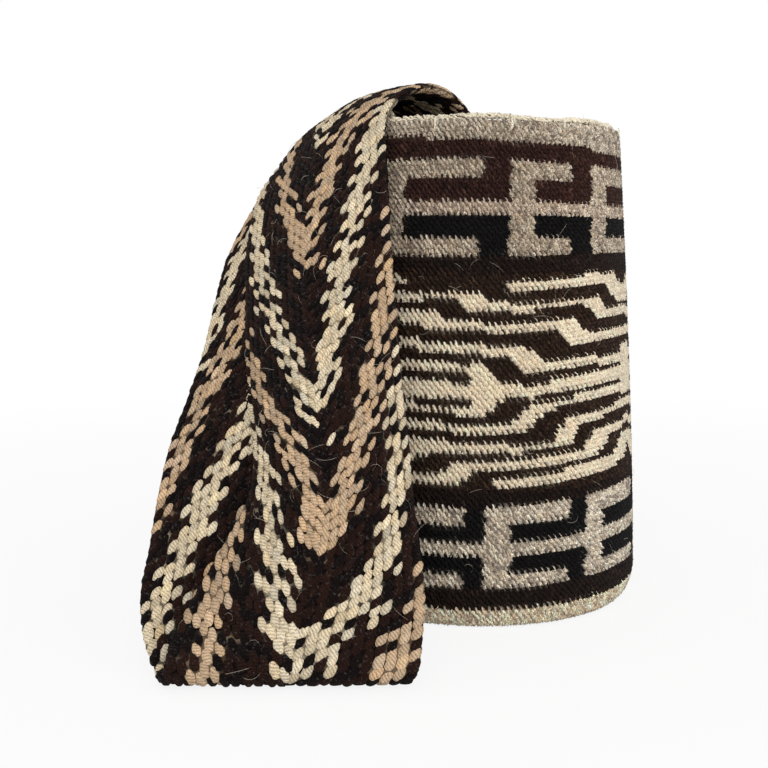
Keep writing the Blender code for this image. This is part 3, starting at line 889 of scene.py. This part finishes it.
def dye(yarn, wool, rng):
    """A colour for each strand and, in the fourth place, how flecked it is.

    Heather yarns mix three wools, dark yarns have a paler strand here and there, and every yarn varies a
    little. The heathers low on the bag are made lighter, as painted light against the shade that falls
    there.
    """
    count = len(yarn)
    colours = np.zeros((count, 4))
    plain = ((BROWN, wool.brown), (BLACK, wool.black), (SOOT, wool.soot), (CREAM, wool.cream))
    for key, value in (*plain, (BARK, wool.bark)):
        colours[yarn == key, :3] = value[:]
    mix = np.array((wool.heather_light[:], wool.heather_mid[:], wool.heather_dark[:]))
    chance = rng.random(count)
    pick = np.where(chance < LIGHT_SHARE, 0, np.where(chance < LIGHT_SHARE + MIDDLE_SHARE, 1, 2))
    for key, tint in HEATHER_TINTS_AND_PAINTED_LIGHT:
        here = yarn == key
        colours[here, :3] = mix[pick[here]] * tint
    dark = colours[:, 1] < DARK_BELOW
    colours[dark & (chance < PALE_SHARE), :3] *= PALE_TINT
    shade = rng.normal(1.0, 0.1, (count, 1)) + rng.normal(0.0, 0.25, (count, 1)) * dark[:, None]
    warmth = rng.normal(0.0, 0.02, (count, 1))
    colours[:, :3] *= shade * (1 + warmth * np.array((1.0, 0.0, -1.2)))
    colours[:, 3] = np.where(yarn == CREAM, CREAM_FLECKS, 1.0)
    return np.clip(colours, 0.0, 1.0)


def dye_points(mesh, colours):
    """Gives the mesh's points their colours and, where no fourth value says it, few flecks."""
    colours = colours.reshape(-1, colours.shape[-1])
    if colours.shape[1] == 3:
        colours = np.concatenate((colours, np.full((len(colours), 1), FEW_FLECKS)), axis=1)
    mesh.attributes.new("wool", "FLOAT_COLOR", "POINT")
    mesh.attributes["wool"].data.foreach_set("color", colours.astype(np.float32).ravel())


# The three strands that a stitch shows: their shift in stitches and rise in courses, and
# their lean, length and width as shares of a leg's
STITCH_STRANDS = (
    (-0.24, 0.62, 1.0, 1.0, 1.0), (0.24, -0.02, 1.35, 0.62, 1.05), (0.02, -0.10, -0.9, 0.5, 0.9),
)


def crochet(name, wall, wool, first, last, seed):
    """The stitches of the courses from first to last, as three strands each."""
    section = outer_section()
    rng = np.random.default_rng(seed)
    middle_radius = (MOUTH_RADIUS + BELLY_RADIUS) / 2
    wall_count = round(math.tau * middle_radius / wall.stitch_width)
    places, ways, outs, sizes, yarns = [], [], [], [], []
    for course in range(first, last):
        radius, height, down = along_section(section, (course + 0.5) * wall.course_height)
        on_base = height < BELLY_HEIGHT * BASE_REACH
        count = max(4, round(math.tau * radius / wall.stitch_width)) if on_base else wall_count
        azimuth = (np.arange(count) + 0.5 * (course % 2) + COURSE_SHIFT * course) * 360 / count
        away, side = ways_round(azimuth)
        levels = np.full(count, (BAG_HEIGHT - height) / MM)
        drop = askew(azimuth, levels)
        rolled = radius - rim_roll(azimuth, height)
        bend = (rim_roll(azimuth, height + MM / 2) - rim_roll(azimuth, height - MM / 2)) / MM
        fall = unit(away * (down[0] + bend[:, None]) + UP * down[1])
        out = unit(away * -down[1] + UP * (down[0] + bend[:, None]))
        middle = away * rolled[:, None] + UP * height + fall * (drop * MM)[:, None]
        yarn = figures(azimuth, levels, levels + drop)
        if on_base:
            yarn[:] = FOOT_GREY_PAINTED_LIGHTER if radius > BROWN_MIDDLE * BASE_RADIUS else BROWN
        width = math.tau * radius / count
        sunk = STRAND_SUNK + BASE_SUNK * max(0.0, -down[0])
        for shift, rise, lean, reach, breadth in STITCH_STRANDS:
            turn = wall.lean * lean
            jitter = rng.normal(0.0, STITCH_JITTER, (count, 2))
            place = middle + side * (shift * width + jitter[:, :1]) - out * sunk
            places.append(place + fall * (jitter[:, 1:] - rise * wall.course_height))
            ways.append(fall * math.cos(turn) + side * math.sin(turn) - out * STRAND_TIP * reach)
            outs.append(out)
            yarns.append(yarn)
            size = np.array((wall.leg_width * breadth, wall.leg_length * reach, wall.leg_height))
            sizes.append(np.tile(size, (count, 1)))
    colours = dye(np.concatenate(yarns), wall, rng)
    strand = bpy.data.meshes.get("stitch_leg") or strand_mesh("stitch_leg", (-0.27, 0.27), 2)
    arrays = [np.concatenate(values) for values in (places, ways, outs, sizes)]
    return lay_strands(name, strand, wool, *arrays, colours, STITCH_STRAY, STITCH_UNEVEN, seed)


def course_at(wall, depth):
    """The course that lies at this depth in millimetres."""
    return round((depth * MM - (BAG_HEIGHT - wall_top())) / wall.course_height)


class MOCHILA_OT_crochet_wall(bpy.types.Operator):
    """Crochets the wall and the base of the bag, stitch by stitch"""

    bl_idname = "mochila.crochet_wall"
    bl_label = "Crochet the wall"

    def execute(self, context):
        wall = settings(context)[0]
        wool = crochet_wool()
        section = outer_section()
        last = int(section[1][-1] / wall.course_height)
        cuts = (0, *(course_at(wall, depth) for depth in PIECE_DEPTHS), last)
        names = ("wall_upper", "wall_middle", "wall_lower", "bag_base")
        for index, name in enumerate(names):
            piece = crochet(name, wall, wool, cuts[index], cuts[index + 1], wall.seed + index)
            seat(piece, ())
        return {"FINISHED"}


class MOCHILA_OT_line_bag(bpy.types.Operator):
    """Makes the cloth of the bag under its stitches, with its inner side, both darkened as painted shade
    """

    bl_idname = "mochila.line_bag"
    bl_label = "Make the cloth under the stitches"

    def execute(self, context):
        wall = settings(context)[0]
        section = outer_section()
        azimuth = np.arange(CLOTH_COLUMNS) * 360 / CLOTH_COLUMNS
        away = ways_round(azimuth)[0]
        rows = []
        for step in range(CLOTH_ROWS):
            radius, height, down = along_section(section, section[1][-1] * step / CLOTH_ROWS)
            rows.append((radius + down[1] * STRAND_SUNK, height - down[0] * STRAND_SUNK, height, True))
        top = wall_top()
        rows.append((0.00001, 0.0009, 0.0, True))
        for radius in (0.00001, BASE_RADIUS * 0.5, BASE_RADIUS - WALL_THICKNESS):
            rows.append((radius, WALL_THICKNESS, 0.0, False))
        for height in np.linspace(BELLY_HEIGHT * 0.45, top, INNER_ROWS):
            rows.append((wall_radius(height) - WALL_THICKNESS, height, height, False))
        rows.append((MOUTH_RADIUS - WALL_THICKNESS * 0.5, top + 0.0008, top, False))
        rows.append(rows[0])
        rng = np.random.default_rng(wall.seed + 40)
        places = np.zeros((len(rows), CLOTH_COLUMNS, 3))
        colours = np.zeros((len(rows), CLOTH_COLUMNS, 4))
        for index, (radius, height, mark, outside) in enumerate(rows):
            level = np.full(CLOTH_COLUMNS, (BAG_HEIGHT - mark) / MM)
            rolled = radius - rim_roll(azimuth, np.full(CLOTH_COLUMNS, height))
            lifted = height + rim_wave(azimuth, level) * MM
            places[index] = away * rolled[:, None] + UP * lifted[:, None]
            # Painted shade: the cloth under the stitches takes half its yarn's colour, for the shade
            # between the stitches, and the inner side 0.8 of it, for the shade inside the bag.
            shade = 0.5 if outside else 0.8
            tone = dye(figures(azimuth, level - askew(azimuth, level), level), wall, rng)
            colours[index] = tone * (shade, shade, shade, 1.0)
        cloth = add_piece("bag_cloth", grid_mesh("bag_cloth", places, colours, crochet_wool()))
        seat(cloth, ("bag_body",))
        return {"FINISHED"}


class MOCHILA_OT_whip_rim(bpy.types.Operator):
    """Whips the rim of the bag with cream yarn"""

    bl_idname = "mochila.whip_rim"
    bl_label = "Whip the rim"

    def execute(self, context):
        rim = settings(context)[1]
        rng = np.random.default_rng(5)
        spine, height = edging_place()
        count = rim.wraps
        places, ways, outs, sizes = [], [], [], []
        for row, turn in enumerate(WRAP_TURNS):
            spots = np.arange(count) + row * WRAP_SHIFT + rng.normal(0, WRAP_JITTER, count)
            azimuth = spots * 360 / count
            away, side = ways_round(azimuth)
            angle = np.radians(azimuth)
            lift = rim_wave(azimuth, 0) * MM
            for ripple, times, phase in RIM_RIPPLES:
                lift = lift + ripple * np.sin(angle * times + phase)
            tilt = math.radians(turn)
            out = -away * math.sin(tilt) + UP * math.cos(tilt)
            rolled = spine - rim_roll(azimuth, np.full(count, BAG_HEIGHT)) * 0.85
            places.append(away * rolled[:, None] + UP * (height + lift[:, None]) + out * WRAP_OUT)
            ways.append(side * 0.9 + np.cross(side, out) * rng.normal(0.42, 0.3, (count, 1)))
            outs.append(out)
            size = np.array((rim.yarn_width, rim.yarn_width * WRAP_REACH, WRAP_BULGE))
            sizes.append(np.tile(size, (count, 1)) * rng.normal(1, 0.15, (count, 1)))
        for index in range(rim.long_stitches):
            azimuth = -17 + index * 360 / rim.long_stitches + rng.normal(0, 3)
            away = on_circle(1.0, azimuth, 0.0)
            for step in range(3):
                drop = 0.0008 + step * LONG_STITCH_STEP
                places.append((away * (MOUTH_RADIUS + 0.0003) + UP * (height - drop))[None])
                ways.append(-UP[None])
                outs.append(away[None])
                sizes.append(np.array((LONG_STITCH,)))
        arrays = [np.concatenate(values) for values in (places, ways, outs, sizes)]
        tone = np.array(rim.cream[:]) * rng.normal(0.95, 0.08, (len(arrays[0]), 1))
        arrays.append(np.clip(tone, 0, 1))
        strand = strand_mesh("rim_wrap", (-0.4, 0.0, 0.4), 3)
        piece = lay_strands("rim_whipping", strand, crochet_wool(), *arrays, 0.3, 0.2, 5)
        seat(piece, ("rim_edging",))
        return {"FINISHED"}


# Route of the strap


def sagitta(radius, half):
    return radius - math.sqrt(radius**2 - half**2)


def sewn_radius(depth):
    reach = inner_radius(depth)
    if depth < SEWN_DEPTH / 2:
        reach = min(reach, edging_place()[0] - EDGING_RADIUS - WHIP_SWELL - FACET_ROOM)
    return reach - CLEARANCE - STRAP_THICKNESS / 2


def sewn_rows(azimuth, turn, side, drop):
    edging_depth = BAG_HEIGHT - edging_place()[1]
    rows = []
    for depth in (SEWN_DEPTH + drop, SEWN_DEPTH / 2 + drop, edging_depth + drop):
        radius = sewn_radius(depth)
        back = side * sagitta(radius, STRAP_HALF_WIDTH)
        middle = on_circle(radius, azimuth, BAG_HEIGHT - depth)
        rows.append((*middle, turn, STRAP_HALF_WIDTH, back))
    return rows


def crest_row():
    height = BAG_HEIGHT + 2 * CLEARANCE + FACET_ROOM + 1.5 * STRAP_THICKNESS - LAYER_SQUEEZE
    radius = edging_place()[0]
    middle = on_circle(radius, CREST_AZIMUTH, height)
    return (*middle, CREST_AZIMUTH, STRAP_HALF_WIDTH, sagitta(radius, STRAP_HALF_WIDTH))


def mouth_rows():
    turn = FAR_SEAM_AZIMUTH - 180
    rows = sewn_rows(FAR_SEAM_AZIMUTH, turn, -1, FAR_SEAM_DROP)
    start = rows[-1]
    crest = crest_row()
    for share, rise in MOUTH_RUN:
        mixed = [a + (b - a) * share for a, b in zip(start, crest)]
        mixed[2] = BAG_HEIGHT + rise
        mixed[3] = turn + (CREST_AZIMUTH - turn) * share
        mixed[4] = STRAP_HALF_WIDTH
        rows.append(tuple(mixed))
    rows.append(crest)
    return rows


def outside_rows(run):
    rows = []
    for azimuth, reach, share, turn, half, back in run:
        middle = on_circle(MOUTH_RADIUS + reach, azimuth, share * BAG_HEIGHT)
        rows.append((*middle, turn, half, back))
    return rows


def fold_rows():
    lowest = FOLD_LIFT + STRAP_THICKNESS / 2
    centre = on_circle(MOUTH_RADIUS + FOLD_REACH, FOLD_AZIMUTH, lowest + FOLD_RADIUS)
    rows = []
    for index in range(FOLD_STEPS + 1):
        turn = math.pi * index / FOLD_STEPS
        parts = (math.cos(turn), math.sin(turn))
        ahead, low = (math.copysign(abs(part) ** FOLD_SQUARENESS, part) for part in parts)
        away = np.array((0.0, -ahead, -low))
        drift = np.array((FOLD_DRIFT * (0.5 - index / FOLD_STEPS), 0.0, 0.0))
        rows.append((*(centre + away * FOLD_RADIUS + drift), 0.0, FOLD_HALF_WIDTH, 0.0))
    return rows


def near_seam_rows():
    spine, height = edging_place()
    bend = EDGING_RADIUS + WHIP_SWELL + CLEARANCE + FACET_ROOM + STRAP_THICKNESS / 2
    rows = []
    for angle in RIM_BEND_ANGLES:
        turn = math.radians(angle)
        radius = spine - bend * math.sin(turn)
        middle = on_circle(radius, NEAR_SEAM_AZIMUTH, height + bend * math.cos(turn))
        back = sagitta(radius, STRAP_HALF_WIDTH)
        rows.append((*middle, NEAR_SEAM_AZIMUTH, STRAP_HALF_WIDTH, back))
    rows += reversed(sewn_rows(NEAR_SEAM_AZIMUTH, NEAR_SEAM_AZIMUTH, 1, 0.0))
    return rows


def strap_route():
    """The knots of the strap's route: their distances, values and slopes."""
    rows = mouth_rows() + outside_rows(FRONT_RUN) + fold_rows()
    rows += outside_rows(REAR_RUN) + near_seam_rows()
    values = np.array(rows)
    steps = np.linalg.norm(np.diff(values[:, :3], axis=0), axis=1)
    knots = np.concatenate(([0.0], np.cumsum(steps)))
    low = np.maximum(np.arange(len(rows)) - 1, 0)
    high = np.minimum(np.arange(len(rows)) + 1, len(rows) - 1)
    slopes = (values[high] - values[low]) / (knots[high] - knots[low])[:, None]
    return knots, values, slopes


def route_at(route, distance):
    """The strap's middle, turn, half width and curl at these distances along it."""
    knots, values, slopes = route
    index = np.clip(np.searchsorted(knots, distance, side="left") - 1, 0, len(knots) - 2)
    span = knots[index + 1] - knots[index]
    t = np.clip((distance - knots[index]) / span, 0, 1)[:, None]
    span = span[:, None]
    return (
        (2 * t**3 - 3 * t**2 + 1) * values[index]
        + (t**3 - 2 * t**2 + t) * span * slopes[index]
        + (3 * t**2 - 2 * t**3) * values[index + 1]
        + (t**3 - t**2) * span * slopes[index + 1]
    )


def band_points(route, distance, across):
    """Points of the band's middle surface: across runs from -1, the left edge, to 1."""
    rows = route_at(route, distance)
    front, wide = ways_round(rows[:, 3])
    middle = rows[:, :3] + wide * rows[:, 4:5] * across[:, None]
    return middle - front * rows[:, 5:6] * across[:, None] ** 2


def band_frame(route, distance, across):
    """Places on the band's middle surface, with the ways along it, across it and out of it."""
    step = 0.0015
    place = band_points(route, distance, across)
    along = band_points(route, distance + step, across) - band_points(route, distance - step, across)
    wide = band_points(route, distance, across + 0.02) - band_points(route, distance, across - 0.02)
    return place, unit(along), unit(wide), unit(np.cross(along, wide))


def half_thickness(strap, across):
    """Half the thickness of the band, which thins towards its edges."""
    return strap.core_thickness * (1 - (1 - STRAP_EDGE_SHARE) * across**4) / 2


def stripe_table():
    """The middles of the light stripes at 41 places across, with more of them beyond both ends."""
    places = np.linspace(-1, 1, 41)
    rows = [np.interp(places, STRIPE_PLACES, stripe) for stripe in STRIPES]
    soft = np.array((1, 2, 3, 2, 1)) / 9
    rows = [np.convolve(np.pad(row, 2, mode="edge"), soft, mode="valid") for row in rows]
    rows = [rows[0] - STRIPE_SPACING * step for step in (4, 3, 2, 1)] + rows
    rows += [rows[-1] + STRIPE_SPACING * step for step in (1, 2, 3)]
    return places, np.array(rows)


def stripe_offsets(distance, across):
    """The nearest light stripe to each place, and how far off its middle lies, square to it."""
    places, table = stripe_table()
    slopes = np.gradient(table, places * STRAP_HALF_WIDTH / MM, axis=1)
    column = np.clip((across + 1) / 2 * (len(places) - 1), 0, len(places) - 1.001)
    left = column.astype(int)
    part = column - left
    middles = table[:, left] * (1 - part) + table[:, left + 1] * part
    gaps = distance / MM - middles
    nearest = np.argmin(np.abs(gaps), axis=0)
    each = np.arange(len(distance))
    slope = np.maximum(np.abs(slopes[nearest, left]), STRIPE_LEAST_SLOPE)
    return nearest, np.abs(gaps[nearest, each]) / np.sqrt(1 + slope**2)


def cord_colours(strap, distance, across, parity, rng):
    """A colour for each cord: cream and tan chevrons in turn, with brown between them."""
    count = len(distance)
    nearest, offset = stripe_offsets(distance, across)
    tan = nearest % 2 == 0
    wider = np.where(tan & (np.abs(across) < TAN_MIDDLE), TAN_WIDER, 1.0)
    border = offset - strap.stripe_half / MM * wider
    chance = rng.random(count)
    even = parity == 0
    light = (border < SOLID_BORDER) | ((border < CHECKED_BORDER) & even)
    light |= (border < STRAY_BORDER) & (chance < STRAY_SHARE)
    light &= ~((border > DARK_BORDER) & ~even & (chance > 1 - DARK_SHARE))
    colours = np.where(chance[:, None] < 0.6, np.array(strap.brown[:]), np.array(strap.black[:]))
    colours = np.where((light & tan)[:, None], np.array(strap.tan[:]), colours)
    colours = np.where((light & ~tan)[:, None], np.array(strap.cream[:]), colours)
    warmth = rng.normal(0.02, 0.025, (count, 1)) * np.array((1.0, 0.0, -1.5))
    return np.clip(colours * rng.normal(1.0, 0.11, (count, 1)) * (1 + warmth), 0, 1)


def cord_lattice(strap, face, total):
    """Distances, places across and parity of the cords that show on one face of the strap."""
    half_width = STRAP_HALF_WIDTH / strap.column_step
    spots = []
    for half in (-1, 1):
        for column in range(int(half_width + 0.6)):
            across = (column + FIRST_COLUMN) / half_width
            shift = strap.row_step * (0.5 * (column % 2) + 0.25 * (half > 0) + 0.3 * face)
            for row in range(int(total / strap.row_step) + 1):
                distance = shift + row * strap.row_step
                if BARE_END < distance < total - BARE_END:
                    spots.append((distance, half * min(across, 0.99), (row + column) % 2))
    return np.array(spots)


class MOCHILA_OT_braid_strap(bpy.types.Operator):
    """Drapes the band of the strap and lays its cords on both faces"""

    bl_idname = "mochila.braid_strap"
    bl_label = "Braid the strap"

    def execute(self, context):
        strap = settings(context)[2]
        route = strap_route()
        total = route[0][-1]
        wool = cord_wool()
        core = self.make_core(strap, route, total, wool)
        strand = strand_mesh("strap_cord", (-0.47, -0.36, -0.12, 0.12, 0.36, 0.47), 3)
        pieces = []
        rng = np.random.default_rng(strap.seed)
        for face, name in ((1, "strap_cords_outer"), (-1, "strap_cords_inner")):
            spots = cord_lattice(strap, face > 0, total)
            distance = spots[:, 0] + rng.normal(0, 0.0005, len(spots))
            distance = np.clip(distance, 0.001, total - 0.001)
            across = spots[:, 1]
            place, along, wide, out = band_frame(route, distance, across)
            lean = np.radians(CORD_LEAN - CORD_LEAN_LOSS * np.abs(across)) * -np.sign(across)
            lean = lean[:, None]
            way = along * np.cos(lean) + wide * np.sin(lean) + out * (face * CORD_RISE)
            rise = half_thickness(strap, across) - CORD_SUNK
            place = place + out * (face * rise)[:, None]
            size = np.full((len(spots), 3), (0.0, strap.cord_reach, strap.cord_height))
            size[:, 0] = strap.cord_width * route_at(route, distance)[:, 4] / STRAP_HALF_WIDTH
            colours = cord_colours(strap, distance, across, spots[:, 2], rng)
            arrays = (place, way, out * face, size, colours)
            cords = lay_strands(name, strand, wool, *arrays, CORD_STRAY, CORD_UNEVEN, strap.seed)
            pieces.append(cords)
        for piece in pieces:
            seat(piece, ())
        seat(core, ("strap",))
        return {"FINISHED"}

    def make_core(self, strap, route, total, wool):
        """The band itself, a closed strip with rounded edges."""
        distances = np.linspace(0.0005, total - 0.0005, BAND_ROWS)
        ring = [(across, 1.0) for across in np.linspace(-1, 1, BAND_COLUMNS)]
        ring += [(across, -1.0) for across in np.linspace(1, -1, BAND_COLUMNS)]
        rng = np.random.default_rng(strap.seed + 1)
        places = np.zeros((len(distances), len(ring), 3))
        tone = np.zeros((len(distances), len(ring), 3))
        odd = np.ones(len(distances))
        for index, (across, side) in enumerate(ring):
            shares = np.full(len(distances), across)
            place, _, _, out = band_frame(route, distances, shares * 0.985)
            places[:, index] = place + out * half_thickness(strap, across) * side
            tone[:, index] = cord_colours(strap, distances, shares, odd, rng)
        # The band is coloured as its cords, darkened by CORE_SHADE as painted shade between them
        return add_piece("strap_band", grid_mesh("strap_band", places, tone * CORE_SHADE, wool))


class MOCHILA_OT_tease_fibres(bpy.types.Operator):
    """Pulls stray fibres out of the wall and the strap"""

    bl_idname = "mochila.tease_fibres"
    bl_label = "Tease out stray fibres"

    def execute(self, context):
        wall, _, strap = settings(context)
        rng = np.random.default_rng(wall.seed + 90)
        count = strap.stray_fibres
        azimuth = rng.uniform(0, 360, count)
        height = rng.uniform(*FIBRE_HEIGHTS, count)
        radius = np.array([wall_radius(value) for value in height]) + 0.0008
        away, side = ways_round(azimuth)
        tilt = rng.uniform(0, math.tau, (count, 1))
        starts = [away * radius[:, None] + UP * height[:, None]]
        ways = [side * np.cos(tilt) + UP * np.sin(tilt)]
        route = strap_route()
        distance = rng.uniform(*FIBRE_ALONG, count) * route[0][-1]
        across = rng.uniform(-FIBRE_ACROSS, FIBRE_ACROSS, count)
        place, along, wide, out = band_frame(route, distance, across)
        tilt = rng.uniform(0, math.tau, (count, 1))
        starts.append(place + out * (strap.core_thickness / 2 + 0.0012))
        ways.append(along * np.cos(tilt) + wide * np.sin(tilt))
        starts, ways, outs = (np.concatenate(values) for values in (starts, ways, (away, out)))
        points, faces = [], []
        for start, way, out in zip(starts, ways, outs):
            self.pull(start, way, out, rng, points, faces)
        mesh = bpy.data.meshes.new("stray_fibres")
        mesh.from_pydata([tuple(point) for point in points], [], faces)
        dye_points(mesh, np.tile(np.array(wall.heather_light[:]), (len(points), 1)))
        mesh.materials.append(crochet_wool())
        mesh.shade_smooth()
        seat(add_piece("stray_fibres", mesh), ())
        return {"FINISHED"}

    def pull(self, start, way, out, rng, points, faces):
        """Adds one fibre, a thin curled tube of three sides, to the points and the faces."""
        bend = rng.normal(0, FIBRE_CURL)
        step = rng.uniform(*FIBRE_STEP)
        lift = rng.uniform(*FIBRE_LIFT)
        beside = np.cross(out, way)
        place = start - out * 0.0006
        base = len(points)
        last = FIBRE_RINGS - 1
        for ring in range(FIBRE_RINGS):
            turn = bend * step * ring
            place = place + (way * math.cos(turn) + beside * math.sin(turn)) * step
            rise = out * lift * math.sin(math.pi * ring / last)
            girth = FIBRE_GIRTH if 0 < ring < last else FIBRE_TIP
            for corner in (0, 1, 2):
                around = math.tau * corner / 3
                points.append(place + rise + (out * math.cos(around) + UP * math.sin(around)) * girth)
                if ring:
                    low = base + 3 * (ring - 1) + corner
                    after = base + 3 * (ring - 1) + (corner + 1) % 3
                    faces.append((low, after, after + 3, low + 3))
        top = base + 3 * last
        faces += [(base + 2, base + 1, base), (top, top + 1, top + 2)]


class MOCHILA_OT_dye_seams(bpy.types.Operator):
    """Gives the seam yarns inside the mouth their wool"""

    bl_idname = "mochila.dye_seams"
    bl_label = "Dye the seam yarns"

    def execute(self, context):
        # Lashing yarn: brown wool, spun coarse, whose fibres change its shade every millimetre
        material, tree = new_material("brown_lashing_yarn")
        place = add_node(tree, "ShaderNodeTexCoord").outputs["Object"]
        fibre = add_node(tree, "ShaderNodeTexNoise", {"Vector": place}, in_Scale=900.0, in_Detail=3.0)
        tone = add_node(tree, "ShaderNodeValToRGB", {"Fac": fibre})
        tone.color_ramp.elements[0].color = (*linear("33211a"), 1.0)
        tone.color_ramp.elements[1].color = (*linear("6a4a3a"), 1.0)
        fuzz = add_node(tree, "ShaderNodeBump", {"Height": fibre}, in_Strength=0.6, in_Distance=0.0004)
        links = {"Base Color": tone, "Normal": fuzz}
        shader = add_node(tree, "ShaderNodeBsdfPrincipled", links, in_Roughness=0.95)
        add_node(tree, "ShaderNodeOutputMaterial", {"Surface": shader})
        for name in ("near_seam_yarn", "far_seam_yarn"):
            materials = bpy.data.objects[name].data.materials
            materials.clear()
            materials.append(material)
        return {"FINISHED"}


class MOCHILA_OT_set_stage(bpy.types.Operator):
    """Sets the camera, the floor and the light"""

    bl_idname = "mochila.set_stage"
    bl_label = "Set the stage"

    def execute(self, context):
        stage = context.scene.mochila_stage
        camera = add_piece("photograph_camera", bpy.data.cameras.new("photograph_camera"))
        camera.location = CAMERA_PLACE
        camera.rotation_euler = (math.radians(90 - CAMERA_PITCH), 0.0, 0.0)
        camera.data.lens = stage.lens
        camera.data.sensor_width = CAMERA_SENSOR
        camera.data.clip_start = 0.01
        context.scene.camera = camera
        self.make_floor()
        self.make_lights(stage)
        self.make_daylight(context, stage)
        context.scene.view_settings.view_transform = "Standard"
        return {"FINISHED"}

    def make_floor(self):
        """A wide pale floor that keeps a soft shadow and is near white to the camera."""
        mesh = bpy.data.meshes.new("floor")
        corners = [(FLOOR_REACH * x, FLOOR_REACH * y, 0) for x, y in ((-1, -1), (1, -1), (1, 1), (-1, 1))]
        mesh.from_pydata(corners, [], [(0, 1, 2, 3)])
        floor = add_piece("floor", mesh)
        floor.location.z = -0.0003
        material, tree = new_material("white_paper_floor")
        paper = add_node(tree, "ShaderNodeBsdfDiffuse", in_Color=(0.88, 0.88, 0.88, 1.0))
        glow = add_node(tree, "ShaderNodeEmission", in_Color=(1.0, 1.0, 1.0, 1.0), in_Strength=1.0)
        seen = add_node(tree, "ShaderNodeLightPath").outputs["Is Camera Ray"]
        place = add_node(tree, "ShaderNodeTexCoord").outputs["Object"]
        far = add_node(tree, "ShaderNodeVectorMath", {0: place}, operation="LENGTH")
        near = add_node(
            tree, "ShaderNodeMapRange", {"Value": far.outputs["Value"]},
            in_From_Min=0.25, in_From_Max=1.1, in_To_Min=0.86, in_To_Max=1.0,
        )
        share = add_node(tree, "ShaderNodeMath", {0: seen, 1: near}, operation="MULTIPLY")
        mixed = add_node(tree, "ShaderNodeMixShader", {0: share, 1: paper, 2: glow})
        add_node(tree, "ShaderNodeOutputMaterial", {"Surface": mixed})
        mesh.materials.append(material)

    def make_lights(self, stage):
        lamps = (
            ("key_light", stage.key_power, 1.2, (0.0, -1.75, 1.25)),
            ("fill_light", stage.fill_power, 1.4, (1.4, -1.1, 0.6)),
        )
        for name, power, size, place in lamps:
            lamp = add_piece(name, bpy.data.lights.new(name, "AREA"))
            lamp.data.energy = power
            lamp.data.size = size
            lamp.location = place
            aim = Vector((0.0, 0.0, BAG_HEIGHT / 2)) - Vector(place)
            lamp.rotation_euler = aim.to_track_quat("-Z", "Y").to_euler()

    def make_daylight(self, context, stage):
        """Even light from all round, which the camera and mirrors see as white."""
        world = bpy.data.worlds.new("studio")
        context.scene.world = world
        world.use_nodes = True
        tree = world.node_tree
        tree.nodes.clear()
        path = add_node(tree, "ShaderNodeLightPath").outputs
        links = {0: path["Is Camera Ray"], 1: path["Is Glossy Ray"]}
        seen = add_node(tree, "ShaderNodeMath", links, operation="MAXIMUM")
        links = {0: seen, 1: path["Is Transmission Ray"]}
        seen = add_node(tree, "ShaderNodeMath", links, operation="MAXIMUM")
        strength = add_node(
            tree, "ShaderNodeMapRange", {"Value": seen}, in_To_Min=stage.daylight, in_To_Max=1.0
        )
        links = {"Strength": strength}
        sky = add_node(tree, "ShaderNodeBackground", links, in_Color=(1.0, 1.0, 1.0, 1.0))
        add_node(tree, "ShaderNodeOutputWorld", {"Surface": sky})


STEPS = (
    MOCHILA_OT_set_stage, MOCHILA_OT_line_bag, MOCHILA_OT_crochet_wall, MOCHILA_OT_whip_rim,
    MOCHILA_OT_braid_strap, MOCHILA_OT_tease_fibres, MOCHILA_OT_dye_seams,
)


class MOCHILA_PT_panel(bpy.types.Panel):
    """The steps that make the mochila, in order"""

    bl_idname = "MOCHILA_PT_panel"
    bl_label = "Mochila"
    bl_space_type = "VIEW_3D"
    bl_region_type = "UI"
    bl_category = "Mochila"

    def draw(self, context):
        for step in STEPS:
            self.layout.operator(step.bl_idname)
        for name, group in GROUPS:
            box = self.layout.box()
            for key in group.__annotations__:
                box.prop(getattr(context.scene, name), key)


GROUPS = (
    ("mochila_wall", MochilaWallSettings), ("mochila_rim", MochilaRimSettings),
    ("mochila_strap", MochilaStrapSettings), ("mochila_stage", MochilaStageSettings),
)


def register():
    for name, group in GROUPS:
        bpy.utils.register_class(group)
        setattr(bpy.types.Scene, name, bpy.props.PointerProperty(type=group))
    for step in STEPS:
        bpy.utils.register_class(step)
    bpy.utils.register_class(MOCHILA_PT_panel)


def unregister():
    bpy.utils.unregister_class(MOCHILA_PT_panel)
    for step in reversed(STEPS):
        bpy.utils.unregister_class(step)
    for name, group in reversed(GROUPS):
        delattr(bpy.types.Scene, name)
        bpy.utils.unregister_class(group)


def main():
    register()
    for step in STEPS:
        group, name = step.bl_idname.split(".")
        getattr(getattr(bpy.ops, group), name)()


if __name__ == "__main__":
    main()
